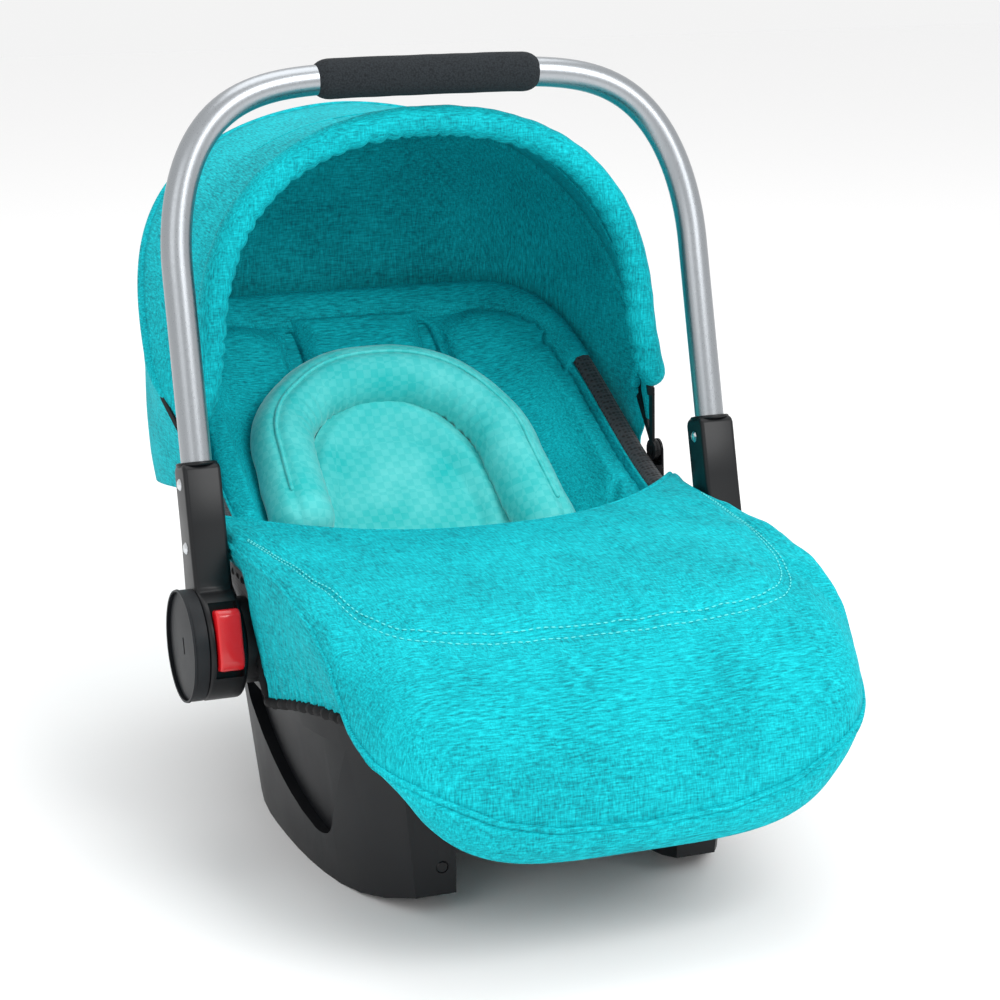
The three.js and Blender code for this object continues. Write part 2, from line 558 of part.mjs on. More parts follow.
/** Point [x, r] on the hoop at this tilt, t from 0 to 1 from one side to the other. */
function hoop(tilt, t, inset, from = 28, sideX = STUD_X + 3.5) {
  const reach = canopyReach(tilt) - inset;
  const m = canopyTopPower(tilt);
  const a0 = Math.asin(Math.min((from / reach) ** (m / 2), 1));
  const a = mix(a0, Math.PI - a0, t);
  const r = reach * Math.sin(a) ** (2 / m);
  const c = Math.cos(a);
  const half = mix(sideX, canopyHalfWidth(tilt), step01(30, 110, r)) - inset;
  return [Math.sign(c) * half * Math.abs(c) ** (2 / canopySidePower(tilt)), r];
}
function polar(x, r, tilt) {
  return vec(x, PIVOT_Y + r * Math.sin(radians(tilt)), PIVOT_Z + r * Math.cos(radians(tilt)));
}
class BowCurve extends THREE.Curve {
  constructor(tilt, from, sideX) {
    super();
    Object.assign(this, { tilt, from, sideX });
  }

  getPoint(t, target = new THREE.Vector3()) {
    const [x, r] = hoop(this.tilt, t, 0, this.from, this.sideX);
    return target.copy(polar(x, r, this.tilt));
  }
}
const LINK_LENGTH = 50;            // flat end of a bow, from its eyelet to where the rod begins
function canopyBow(tilt, eyeletX) {
  const middle = (eyeletX[0] + eyeletX[1]) / 2;
  const rod = sweep(new BowCurve(tilt, LINK_LENGTH - 6, middle), BOW_RADIUS, 22, 3);
  return [-1, 1].reduce((bow, sign) => {
    const bar = new THREE.BoxGeometry(eyeletX[1] - eyeletX[0], 2 * BOW_RADIUS, LINK_LENGTH);
    moved(bar, middle, 0, LINK_LENGTH / 2);
    bar.rotateX(-radians(tilt));
    const eyelet = cylinderX(EYELET_RADIUS, ...eyeletX, PIVOT_Y, PIVOT_Z, 14);
    const link = solid(moved(bar, 0, PIVOT_Y, PIVOT_Z)).add(eyelet);
    const hole = cylinderX(STUD_RADIUS + GAP, STUD_X - 9, STUD_X + 11, PIVOT_Y, PIVOT_Z, 14);
    return bow.add(onSide(sign, link.subtract(hole)));
  }, rod);
}
add(seat, 'canopy_front_bow', canopyBow(FRONT_TILT, FRONT_EYELET_X), BLACK_PLASTIC);
add(seat, 'canopy_rear_bow', canopyBow(REAR_TILT, REAR_EYELET_X), BLACK_PLASTIC);

const ROLL_FROM = 62;
const rollCurve = (from) => new BowCurve(FRONT_TILT, from, FRONT_EYELET_X[1]);
const rollOuter = sweep(rollCurve(ROLL_FROM), ROLL_RADIUS, 20, 5);
const rollCore = sweep(rollCurve(ROLL_FROM - 16), BOW_RADIUS + 2.2, 20, 3);
add(seat, 'canopy_roll', rollOuter.subtract(rollCore), TEAL);

/** A fabric panel from one tilt to another, kept `start` and `stop` clear of the hoops there. */
function canopyPanel(tilt0, tilt1, start, stop, steps) {
  return bentBox(16, steps, 1, (u, v, w) => {
    const tilt = mix(tilt0, tilt1, v);
    const [x, r] = hoop(tilt, u, mix(CANOPY_WALL, 0, w));
    const clear0 = Math.asin(Math.min(start / r, 0.5)) * 180 / Math.PI;
    const clear1 = Math.asin(Math.min(stop / r, 0.5)) * 180 / Math.PI;
    return polar(x, r, mix(tilt0 + clear0, tilt1 - clear1, v));
  });
}
add(seat, 'canopy_front_panel', canopyPanel(FRONT_TILT, REAR_TILT, ROLL_RADIUS + 1, BOW_RADIUS + 1, 4), TEAL);
add(seat, 'canopy_rear_panel', canopyPanel(REAR_TILT, SKIRT_TILT, BOW_RADIUS + 1, 0, 7), TEAL);

// Liner and seat cover, lying in the bucket.
const PAD_GAP = 1;
const LINER_GAP = 0.8;
const PADS_FOOT_Y = adjusterY + 18;
const pads = {
  liner: [SHELL_WALL + LINER_GAP, SHELL_WALL + LINER_THICKNESS],
  cushion: [SHELL_WALL + LINER_THICKNESS + PAD_GAP, SHELL_WALL + LINER_THICKNESS + PAD_THICKNESS],
  bolster: [SHELL_WALL + LINER_THICKNESS + PAD_GAP, SHELL_WALL + LINER_THICKNESS + PAD_THICKNESS + 7],
};
const CENTRE_HALF_WIDTH = 57;
const BEND_Y = 8;                  // where the seat cushion meets the back cushion
function layer([deep, shallow], above, x0, x1, y0, y1) {
  const slab = bucketFill(deep, above, ACROSS, ALONG).subtract(hollowOf(shallow));
  return slab.intersect(box(x0, x1, y0, y1, 0, 500));
}
add(seat, 'foam_liner', without(layer(pads.liner, -8, -200, 200, SHELL_FOOT_Y + 16, 274), slots), WHITE_FOAM);
const centre = [-CENTRE_HALF_WIDTH, CENTRE_HALF_WIDTH];
add(seat, 'seat_cushion', without(layer(pads.cushion, -4, ...centre, PADS_FOOT_Y, BEND_Y), slots), TEAL);
add(seat, 'back_cushion', without(layer(pads.cushion, -4, ...centre, BEND_Y + GAP, 266), slots), TEAL);
addPair(seat, 'side_bolster', (sign) => onSide(sign,
  layer(pads.bolster, -4, CENTRE_HALF_WIDTH + GAP, 200, PADS_FOOT_Y, 266)), TEAL);

function rimBorder() {
  const outside = bucketFill(-GAP - BORDER_WALL, GAP + BORDER_WALL, ACROSS, ALONG);
  const inside = bucketFill(-GAP, GAP, ACROSS, ALONG);
  const band = bentBox(1, ALONG, 1, (u, v, w) => {
    const y = mix(-57, 300, v);
    return vec(mix(-220, 220, u), y, rimZ(y) + mix(-BORDER_DROP, 20, w));
  });
  const clear = [inside, hollowOf(9), cylinderX(BOSS_RADIUS + 2, -220, 220, HUB_Y, HUB_Z, 32)];
  return without(outside.intersect(band), clear);
}
add(seat, 'rim_border', rimBorder(), MESH_BLACK);

// Newborn insert: a pad on the back cushion with a horseshoe head roll.
const INSERT_X = -10;              // the insert lies a little to one side
const ROLL_CENTRE_Y = 124;
const ROLL_HALF_WIDTH = 92;
const ROLL_HALF_LENGTH = 70;
const ROLL_ARM = 56;               // straight arms below the horseshoe's bend
const INSERT_PAD_HALF = [74, 84];  // half width and half length of the pad's oval
class RollCurve extends THREE.Curve {
  getPoint(t, target = new THREE.Vector3()) {
    const share = mix(-1 / 6, 7 / 6, t);
    const a = Math.PI * THREE.MathUtils.clamp(share, 0, 1);
    const down = Math.max(-share, share - 1, 0) * 6 * ROLL_ARM;
    const c = Math.cos(a);
    const x = INSERT_X + Math.sign(c) * (ROLL_HALF_WIDTH + 0.1 * down) * Math.abs(c) ** 0.85;
    const y = ROLL_CENTRE_Y + ROLL_HALF_LENGTH * Math.sin(a) - down;
    return target.set(x, y, Math.max(seatLineZ(y) + 26, bucketZ(x * 1.22, y, 34) + 16));
  }
}
const rollSolid = sweep(new RollCurve(), INSERT_ROLL_RADIUS, 26, 5);
const overPads = bucketFill(pads.bolster[1] + 3, 200, ACROSS, ALONG);
add(seat, 'insert_roll', rollSolid.intersect(overPads), MINT);
const INSERT_PAD_INSET = [pads.bolster[1] + 2, pads.bolster[1] + 12];
function insertPad() {
  const disc = new THREE.CylinderGeometry(1, 1, 500, 32);
  disc.rotateX(Math.PI / 2);
  disc.scale(...INSERT_PAD_HALF, 1);
  const region = solid(moved(disc, INSERT_X, ROLL_CENTRE_Y - 24, 300));
  const slab = bucketFill(INSERT_PAD_INSET[0], 0, ACROSS, ALONG).subtract(hollowOf(INSERT_PAD_INSET[1]));
  const clear = sweep(new RollCurve(), INSERT_ROLL_RADIUS + 0.6, 26, 5);
  return slab.intersect(region).subtract(clear);
}
add(seat, 'insert_pad', insertPad(), MINT);

// Harness: shoulder straps under the insert, buckle, crotch strap, adjuster.
/** Webbing that follows (y, z) points, as a band extruded across its width. */
function webbing(points, x) {
  const curve = points.map(([y, z]) => new THREE.Vector2(y, z));
  const half = WEB_THICKNESS / 2;
  const normals = curve.map((p, i) => {
    const before = curve[Math.max(i - 1, 0)];
    const after = curve[Math.min(i + 1, curve.length - 1)];
    const d = after.clone().sub(before).normalize();
    return new THREE.Vector2(-d.y, d.x);
  });
  const upper = curve.map((p, i) => p.clone().addScaledVector(normals[i], half));
  const lower = curve.map((p, i) => p.clone().addScaledVector(normals[i], -half)).reverse();
  return plateX(new THREE.Shape([...upper, ...lower]), x - WEB_WIDTH / 2, x + WEB_WIDTH / 2);
}
const STRAP_LIFT = 5;              // webbing centre over the cushion
const cushionZ = (y) => seatLineZ(y) - PAD_TOP + pads.cushion[1];
const BUCKLE_Y = -62;
const backZ = (y) => seatLineZ(y) - PAD_TOP - 8;
const PLATE_Y = 128;
const strapEndY = BUCKLE_Y + 30;
const shoulderStrap = () => {
  const points = [];
  for (let y = strapEndY; y < SLOT_Y - 14; y += 18) points.push([y, cushionZ(y) + STRAP_LIFT]);
  points.push([SLOT_Y - 10, cushionZ(SLOT_Y - 10) + STRAP_LIFT + 1], [SLOT_Y, slotZ], [SLOT_Y + 44, slotZ],
    [SLOT_Y + 44.5, slotZ - 8]);
  for (let y = SLOT_Y + 26; y > PLATE_Y + 16; y -= 12) points.push([y, backZ(y)]);
  return points;
};
addPair(seat, 'harness_strap', (sign) => webbing(shoulderStrap(), sign * STRAP_X), WEBBING);

const plateZ = backZ(PLATE_Y);
function splitterPlate() {
  const geometry = new THREE.BoxGeometry(2 * STRAP_X + WEB_WIDTH + 6, 3, 20);
  geometry.rotateX(-radians(48));
  return solid(moved(geometry, 0, PLATE_Y + 7, plateZ + 2));
}
add(seat, 'splitter_plate', splitterPlate(), STEEL);

const adjusterPoints = [];
for (let y = PLATE_Y - 6; y > adjusterY + 6; y -= 16) adjusterPoints.push([y, backZ(y)]);
adjusterPoints.push([adjusterY, backZ(adjusterY) + 2], [adjusterY, seatLineZ(adjusterY) - 8]);
add(seat, 'adjuster_strap', webbing(adjusterPoints, 0), WEBBING);

const crotchTopZ = cushionZ(CROTCH_Y) + 8;
add(seat, 'crotch_strap', webbing([[CROTCH_Y, backZ(CROTCH_Y) + 6.2], [CROTCH_Y, crotchTopZ]], 0), WEBBING);
const anchorZ = backZ(CROTCH_Y) + 3;
add(seat, 'crotch_anchor', box(-18, 18, CROTCH_Y - 6, CROTCH_Y + 6, anchorZ, anchorZ + 2.8), STEEL);

const BUCKLE_HALF_WIDTH = 27;
const buckleLowZ = crotchTopZ + GAP;
const BUCKLE_THICKNESS = 14;
function buckleHousing() {
  const outline = new THREE.Shape();
  outline.moveTo(CROTCH_Y - 8, buckleLowZ);
  outline.lineTo(BUCKLE_Y + 22, buckleLowZ);
  outline.lineTo(BUCKLE_Y + 22, buckleLowZ + BUCKLE_THICKNESS);
  outline.lineTo(CROTCH_Y - 8, buckleLowZ + BUCKLE_THICKNESS);
  outline.closePath();
  const body = plateX(outline, -BUCKLE_HALF_WIDTH, BUCKLE_HALF_WIDTH, 2);
  const pocket = box(-11, 11, -92, -66, buckleLowZ + 5, buckleLowZ + 30);
  const tongueSlot = box(-22, 22, BUCKLE_Y + 6, BUCKLE_Y + 30, buckleLowZ + 4, buckleLowZ + 7.5);
  return without(body, [pocket, tongueSlot]);
}
add(seat, 'buckle_housing', buckleHousing(), BLACK_PLASTIC);
add(seat, 'buckle_button', box(-10.5, 10.5, -91.5, -66.5, buckleLowZ + 9, buckleLowZ + 17), RED_PLASTIC);
addPair(seat, 'buckle_tongue', (sign) => onSide(sign,
  box(0.4, 21.5, BUCKLE_Y + 7, strapEndY - 1, buckleLowZ + 4.6, buckleLowZ + 7)), STEEL);

const housingZ = seatLineZ(adjusterY - 12) - PAD_TOP + pads.liner[1] + 2;
const adjusterHousing = box(-16, 16, adjusterY - 12, adjusterY - 3.4, housingZ, housingZ + 14);
add(seat, 'adjuster_housing', adjusterHousing, BLACK_PLASTIC);
const leverZ = housingZ + 15;
add(seat, 'adjuster_lever', box(-11, 11, adjusterY - 11, adjusterY + 14, leverZ, leverZ + 3.5), GREY_PLASTIC);

// Rear hook for the vehicle's belt, behind the back of the shell.
function beltHook() {
  const hook = box(-34, 34, 214, 240, 214, 219).add(box(-34, 34, 236, 240, 214, 232));
  return hook.subtract(shellClear);
}
add(seat, 'belt_hook', beltHook(), BLACK_PLASTIC);

// Foot cover: a padded hood over the foot end, open below and towards the child.
const COVER_MIDDLE_Y = -60;        // edge over the child's legs
const COVER_CORNER_Y = 32;         // its corners beside the arms
const COVER_SIDE_Y = -240;         // the lower edge rises to the sides in front of this
const COVER_PLAN_POWER = 6.6;
function coverPlan(y, inset) {
  return planHalfWidth(
    y, COVER_MIDDLE_Y, COVER_FOOT_Y - 3 + inset, 400, COVER_HALF_WIDTH - inset, COVER_PLAN_POWER, 40);
}
/** Height of the cover's top: nearly level over the legs, rolling down to the seam round it. */
function coverTopZ(x, y, inset) {
  const share = Math.min(Math.abs(x) / coverPlan(y, inset), 1);
  const forward = Math.min(Math.max(COVER_MIDDLE_Y - y, 0) / (COVER_MIDDLE_Y + 3 - COVER_FOOT_Y), 1);
  const seam = COVER_FRONT_Z - inset + 57 * (Math.abs(x) / 165) ** 3;
  return seam + (COVER_TOP_Z - inset - seam) * Math.sqrt(1 - forward ** 4) - 9 * share ** 8;
}
/** Its lower edge, rising to both sides round the foot end. */
const coverLowZ = (x, y) => COVER_LOW_Z + (y < COVER_SIDE_Y ? 55 * (Math.abs(x) / 165) ** 4 : 0);
function coverFill(inset, below, rearY) {
  const y0 = COVER_FOOT_Y + inset;
  return bentBox(12, 13, 1, (u, v, w) => {
    const y = mix(y0, rearY, Math.max(v, 0) ** 1.3);
    const x = coverPlan(y, inset) * spread(2 * u - 1);
    return vec(x, y, mix(coverLowZ(x, y) - below, coverTopZ(x, y, inset), w));
  });
}
function footCover() {
  const corner = COVER_HALF_WIDTH - 7.5;
  const hem = new THREE.Shape();
  hem.moveTo(-corner - 64, 20);
  hem.lineTo(-corner, COVER_CORNER_Y);
  hem.quadraticCurveTo(-60, COVER_MIDDLE_Y, 0, COVER_MIDDLE_Y);
  hem.quadraticCurveTo(60, COVER_MIDDLE_Y, corner, COVER_CORNER_Y);
  hem.lineTo(corner + 64, 20);
  hem.lineTo(corner + 64, 120);
  hem.lineTo(-corner - 64, 120);
  const hemCut = solid(new THREE.ExtrudeGeometry(hem, { depth: 400, bevelEnabled: false, curveSegments: 8 }));
  const side = new THREE.Shape();
  side.moveTo(COVER_FOOT_Y - 10, 50);
  const lowerEdge = [[COVER_FOOT_Y - 10, 128], [-262, 158], [-238, 162], [-132, 140], [-58, 118], [-58, 192],
    [80, 192], [80, 50]];
  lowerEdge.forEach(([y, z]) => side.lineTo(y, z));
  const sideCut = plateX(side, COVER_HALF_WIDTH - 25, COVER_HALF_WIDTH + 50);
  const cover = coverFill(0, 0, 60).subtract(coverFill(COVER_WALL, 20, 90));
  const pieces = without(cover, [hemCut, onSide(1, sideCut), onSide(-1, sideCut)]).decompose();
  return pieces.sort((a, b) => b.volume() - a.volume())[0];
}
add(seat, 'foot_cover', footCover(), TEAL);

export default seat;
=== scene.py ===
"""Infant car seat: the visible surfaces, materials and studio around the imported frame."""
import math
from contextlib import contextmanager

import bpy
import numpy as np
from mathutils import Matrix, Vector, noise


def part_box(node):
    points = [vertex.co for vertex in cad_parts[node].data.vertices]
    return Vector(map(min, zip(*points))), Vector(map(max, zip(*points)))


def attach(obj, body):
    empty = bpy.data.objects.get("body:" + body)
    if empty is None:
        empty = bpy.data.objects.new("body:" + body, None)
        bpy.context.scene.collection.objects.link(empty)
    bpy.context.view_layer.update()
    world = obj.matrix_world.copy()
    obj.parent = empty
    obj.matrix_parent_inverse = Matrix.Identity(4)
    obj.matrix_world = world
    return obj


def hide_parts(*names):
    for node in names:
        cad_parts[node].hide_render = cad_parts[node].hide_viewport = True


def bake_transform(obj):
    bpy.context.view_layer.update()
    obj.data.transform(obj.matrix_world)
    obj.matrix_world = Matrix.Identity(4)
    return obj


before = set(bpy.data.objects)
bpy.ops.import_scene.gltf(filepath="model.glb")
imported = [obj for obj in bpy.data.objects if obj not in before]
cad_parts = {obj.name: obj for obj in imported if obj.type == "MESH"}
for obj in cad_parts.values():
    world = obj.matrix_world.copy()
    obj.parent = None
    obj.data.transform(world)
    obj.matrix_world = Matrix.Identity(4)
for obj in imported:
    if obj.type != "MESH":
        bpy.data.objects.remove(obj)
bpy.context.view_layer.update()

bl_info = {
    "name": "Infant car seat",
    "version": (1, 0, 0),
    "blender": (4, 5, 0),
    "location": "View3D > Sidebar > Car seat",
    "description": "Makes the fabric, foam, plastic and metal of an infant car seat round its frame",
    "category": "Object",
}

MM = 0.001

# ---- Places and sizes, in millimetres, taken from the frame ---------------------------------


def mm_box(node):
    """Lowest and highest corner of a CAD node, in millimetres."""
    low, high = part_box(node)
    return [c / MM for c in low], [c / MM for c in high]


SHELL_LOW, SHELL_HIGH = mm_box("seat_shell")
HUB_LOW, HUB_HIGH = mm_box("hub_cover_right")

HUB_Y = (HUB_LOW[1] + HUB_HIGH[1]) / 2
HUB_Z = (HUB_LOW[2] + HUB_HIGH[2]) / 2
HUB_RADIUS = (HUB_HIGH[2] - HUB_LOW[2]) / 2 + 0.3
LEAN = 15.6
SHELL_HALF = SHELL_HIGH[0]
SHELL_HEAD = SHELL_HIGH[1]
SHELL_FOOT = SHELL_LOW[1]
WALL = 3.5
LINER = 8.0
PAD = 15.0
PAD_TOP = WALL + LINER + PAD + 1.5


# ---- Curved surfaces of the seat ------------------------------------------------------------


def mix(a, b, t):
    return a + (b - a) * t


def smooth(low, high, t):
    s = min(max((t - low) / (high - low), 0.0), 1.0)
    return s * s * (3 - 2 * s)


def table(pairs, t):
    """Straight lines between [place, value] pairs, held at both ends."""
    xs, ys = zip(*pairs)
    return float(np.interp(t, xs, ys))


def plan_half(y, middle, front, rear, half, front_power, rear_power):
    length, power = (middle - front, front_power) if y < middle else (rear - middle, rear_power)
    u = min(abs(y - middle) / length, 1.0)
    return half * (1 - u**power) ** (1 / power)


def ramp(t, softness):
    return (t + math.hypot(t, softness)) / 2


def rim_line(y):
    return 201 + 0.54 * ramp(y - 38, 60)


def rim_z(y):
    return rim_line(y) - 0.0022 * max(-130 - y, 0) ** 2


def seat_line(y):
    back = 328 + 0.9 * (y - 270)
    thigh = 67 - 0.42 * (y + 60)
    return (back + thigh) / 2 + math.hypot((back - thigh) / 2, 18)


def shell_half(y, inset):
    return plan_half(y, 60, SHELL_FOOT - 4 + inset, SHELL_HEAD + 4 - inset, SHELL_HALF - inset, 3.2, 6)


def bucket_z(x, y, inset):
    share = min(abs(x) / max(shell_half(y, inset), 1e-6), 1.0)
    depth = max(rim_z(y) - seat_line(y) + PAD_TOP - inset, 1.0)
    return rim_z(y) - depth * (1 - share**3.2) ** (1 / 1.7)


# ---- Canopy surface -------------------------------------------------------------------------

PIVOT_Y, PIVOT_Z = 75.0, 237.0
FRONT_TILT, REAR_TILT, SKIRT_TILT = 2.5, 41.0, 100.0
CANOPY_HEIGHT = 262.7
STUD_X = 182.7


def canopy_reach(tilt):
    if tilt <= REAR_TILT:
        share = (tilt - FRONT_TILT) / (REAR_TILT - FRONT_TILT)
        crown = table([(FRONT_TILT, 0), (22, 5), (REAR_TILT, 0)], tilt)
        return (CANOPY_HEIGHT - 11.4 * share) / math.cos(math.radians(tilt)) + crown
    top = (CANOPY_HEIGHT - 11.4) / math.cos(math.radians(REAR_TILT))
    return table([(REAR_TILT, top), (50, 309), (58.5, 286.5), (68, 264), (76.5, 252), (92.4, 234),
                  (SKIRT_TILT, 219), (112, 205)], tilt)


def hoop(tilt, t, start=28.0, side_x=STUD_X, proud=0.0):
    """(x, r) on the canopy's hoop at this tilt, t from 0 to 1 from one side to the other."""
    reach = canopy_reach(tilt) + proud
    power = table([(FRONT_TILT, 4.1), (REAR_TILT, 4.4), (SKIRT_TILT, 5)], tilt)
    side_power = table([(FRONT_TILT, 2.1), (REAR_TILT, 1.8), (66, 3.4), (SKIRT_TILT, 5)], tilt)
    low = math.asin(min((start / reach) ** (power / 2), 1.0))
    a = mix(low, math.pi - low, t)
    r = reach * math.sin(a) ** (2 / power)
    c = math.cos(a)
    width = table([(FRONT_TILT, 173), (REAR_TILT, 199), (66, 190), (SKIRT_TILT, 184.5)], tilt)
    half = mix(side_x, width, smooth(30, 110, r)) + proud
    return math.copysign(half * abs(c) ** (2 / side_power), c), r


def polar(x, r, tilt):
    a = math.radians(tilt)
    return Vector((x, PIVOT_Y + r * math.sin(a), PIVOT_Z + r * math.cos(a)))


# ---- Handle ---------------------------------------------------------------------------------

SPAN, LEG, REACH, ARCH = 200.0, 261.0, 395.0, 0.78
SOCKET_TOP = 127.0
ARCH_SIDE_POWER, ARCH_TOP_POWER = 5.05, 2.03  # how square the arch's shoulders are


def lean(point):
    """A point of the upright handle, about the hub axis, in its carry position."""
    a = math.radians(LEAN)
    x, y, z = point
    return Vector((x, HUB_Y + y * math.cos(a) + z * math.sin(a), HUB_Z - y * math.sin(a) + z * math.cos(a)))


def handle_point(s):
    """Centreline of the handle tube for s from -1 to 1, in its carry position."""
    if abs(s) > ARCH:
        f = (1 - abs(s)) / (1 - ARCH)
        return lean((math.copysign(SPAN, s), 0, mix(SOCKET_TOP - 60, LEG, f)))
    a = (1 - s / ARCH) * math.pi / 2
    c = math.cos(a)
    x = math.copysign(SPAN * abs(c) ** (2 / ARCH_SIDE_POWER), c)
    return lean((x, 0, LEG + (REACH - LEG) * math.sin(a) ** (2 / ARCH_TOP_POWER)))


# ---- Mesh helpers ---------------------------------------------------------------------------


def new_object(name, verts, faces, uvs=None):
    """A mesh object from points in millimetres, smooth shaded."""
    mesh = bpy.data.meshes.new(name)
    mesh.from_pydata([tuple(c * MM for c in v) for v in verts], [], faces)
    mesh.update()
    obj = bpy.data.objects.new(name, mesh)
    bpy.context.scene.collection.objects.link(obj)
    for poly in mesh.polygons:
        poly.use_smooth = True
    if uvs:
        layer = mesh.uv_layers.new(name="cloth")
        for loop in mesh.loops:
            layer.data[loop.index].uv = uvs[loop.vertex_index]
    return obj


def grid_faces(nu, nv, first=0, wrap=False, flip=False):
    faces = []
    for i in range(nu if wrap else nu - 1):
        for j in range(nv - 1):
            k = (i + 1) % nu
            quad = (first + i * nv + j, first + k * nv + j, first + k * nv + j + 1, first + i * nv + j + 1)
            faces.append(quad[::-1] if flip else quad)
    return faces


def sheet_mesh(name, nu, nv, point, cloth=None):
    """An open sheet; point(u, v) gives millimetres. cloth is the flat size for its UV map."""
    verts = [point(i / (nu - 1), j / (nv - 1)) for i in range(nu) for j in range(nv)]
    width, length = cloth or (1, 1)
    uvs = [(i / (nu - 1) * width, j / (nv - 1) * length) for i in range(nu) for j in range(nv)]
    return new_object(name, verts, grid_faces(nu, nv), uvs)


def closed_mesh(name, nu, nv, outer, inner):
    """Two sheets joined round their edge into one closed solid."""
    us, vs = np.linspace(0, 1, nu), np.linspace(0, 1, nv)
    verts = [outer(u, v) for u in us for v in vs] + [inner(u, v) for u in us for v in vs]
    n = nu * nv
    faces = grid_faces(nu, nv) + grid_faces(nu, nv, n, flip=True)
    edge = [i * nv for i in range(nu)] + [(nu - 1) * nv + j for j in range(1, nv)]
    edge += [i * nv + nv - 1 for i in range(nu - 2, -1, -1)] + [j for j in range(nv - 2, 0, -1)]
    for a, b in zip(edge, edge[1:] + edge[:1]):
        faces.append((b, a, a + n, b + n))
    obj = new_object(name, verts, faces)
    outward(obj)
    return obj


@contextmanager
def editing(obj):
    """Edit mode on one piece, with all of its mesh selected."""
    select(obj)
    bpy.ops.object.mode_set(mode="EDIT")
    bpy.ops.mesh.select_all(action="SELECT")
    yield
    bpy.ops.object.mode_set(mode="OBJECT")


def outward(obj):
    """Recalculates a closed mesh's normals to point out."""
    with editing(obj):
        bpy.ops.mesh.normals_make_consistent(inside=False)


def select(obj):
    bpy.ops.object.select_all(action="DESELECT")
    obj.select_set(True)
    bpy.context.view_layer.objects.active = obj


def modify(obj, kind, apply=True, **settings):
    """Adds a modifier, and applies it unless told not to."""
    modifier = obj.modifiers.new(kind.title(), kind)
    for key, value in settings.items():
        setattr(modifier, key, value)
    if apply:
        select(obj)
        bpy.ops.object.modifier_apply(modifier=modifier.name)
    return obj


def resample(points, step):
    """Points at an even step along a line of points."""
    pts = [Vector(p) for p in points]
    lengths = [0.0]
    for a, b in zip(pts, pts[1:]):
        lengths.append(lengths[-1] + (b - a).length)
    count = max(int(lengths[-1] / step), 2)
    axes = list(zip(*pts))
    return [Vector([float(np.interp(lengths[-1] * i / count, lengths, axis)) for axis in axes])
            for i in range(count + 1)]


def stitches(name, points, length=3.4, gap=1.8, radius=0.5):
    """A row of thread stitches lying along a line of points."""
    pts = resample(points, length + gap)
    verts, faces = [], []
    for a, b in zip(pts, pts[1:]):
        d = (b - a).normalized()
        side = d.cross(Vector((0.3, 0.2, 1))).normalized()
        up = side.cross(d)
        base = len(verts)
        for f, r in ((0.0, 0.35), (0.25, 1.0), (0.5, 1.15), (0.75, 1.0), (1.0, 0.35)):
            for k in range(5):
                angle = 2 * math.pi * k / 5
                ring = side * math.cos(angle) + up * math.sin(angle)
                verts.append(a + d * length * f + ring * radius * r)
        faces += [tuple(base + corner for corner in face) for face in ring_faces(5, 5)]
        faces += [tuple(base + k for k in range(4, -1, -1)), tuple(base + 20 + k for k in range(5))]
    return new_object(name, verts, faces)


def join(objects, name):
    select(objects[0])
    for o in objects:
        o.select_set(True)
    bpy.ops.object.join()
    objects[0].name = name
    return objects[0]


def outline_solid(name, outline, x0, x1, bevel, segments=4, angle=35):
    """A (y, z) outline in millimetres, extruded along X, with rounded edges."""
    obj = new_object(name, [(x0, y, z) for y, z in outline], [tuple(range(len(outline)))])
    with editing(obj):
        bpy.ops.mesh.extrude_region_move(TRANSFORM_OT_translate={"value": ((x1 - x0) * MM, 0, 0)})
        bpy.ops.mesh.select_all(action="SELECT")
        bpy.ops.mesh.normals_make_consistent(inside=False)
    if bevel:
        modify(obj, "BEVEL", width=bevel * MM, segments=segments, limit_method="ANGLE",
               angle_limit=math.radians(angle))
    return obj


def cut(obj, tool):
    """Takes tool's shape out of obj."""
    modify(obj, "BOOLEAN", operation="DIFFERENCE", object=tool, solver="EXACT")
    bpy.data.objects.remove(tool)
    return obj


def crisp(obj, degrees=35):
    select(obj)
    bpy.ops.object.shade_smooth_by_angle(angle=math.radians(degrees))
    return obj


def settled(name):
    """The piece just added, its placement moved into its mesh."""
    obj = bpy.context.object
    obj.data.transform(obj.matrix_world)
    obj.matrix_world = Matrix.Identity(4)
    obj.name = name
    return obj


def mirror_copy(obj, name):
    """The same piece on the other side of the middle plane."""
    twin = obj.copy()
    twin.data = obj.data.copy()
    twin.name = name
    bpy.context.scene.collection.objects.link(twin)
    twin.data.transform(Matrix.Scale(-1, 4, (1, 0, 0)))
    twin.data.flip_normals()
    return twin


def puff(obj, pressure, voxel, cap, frames=20):
    """Blows a closed pad up with a short cloth simulation, and caps how far a point moves."""
    modify(obj, "REMESH", mode="VOXEL", voxel_size=voxel * MM, use_smooth_shade=True)
    rest = np.array([v.co for v in obj.data.vertices])
    cloth = obj.modifiers.new("Cloth", "CLOTH")
    cloth.settings.use_pressure = True
    cloth.settings.uniform_pressure_force = pressure
    cloth.settings.quality = 5
    cloth.settings.mass = 0.3
    cloth.settings.effector_weights.gravity = 0
    cloth.collision_settings.use_collision = False
    cloth.collision_settings.use_self_collision = False
    scene = bpy.context.scene
    cloth.point_cache.frame_end = frames
    for number in range(1, frames + 1):
        scene.frame_set(number)
    select(obj)
    bpy.ops.object.modifier_apply(modifier="Cloth")
    scene.frame_set(1)
    moved = np.array([v.co for v in obj.data.vertices])
    delta = moved - rest
    far = np.linalg.norm(delta, axis=1, keepdims=True)
    delta *= np.minimum(1, cap * MM / np.maximum(far, 1e-9))
    obj.data.vertices.foreach_set("co", (rest + delta).ravel())
    obj.data.update()
    modify(obj, "SUBSURF", levels=1, render_levels=1)
    for poly in obj.data.polygons:
        poly.use_smooth = True
    return obj


# ---- Materials ------------------------------------------------------------------------------


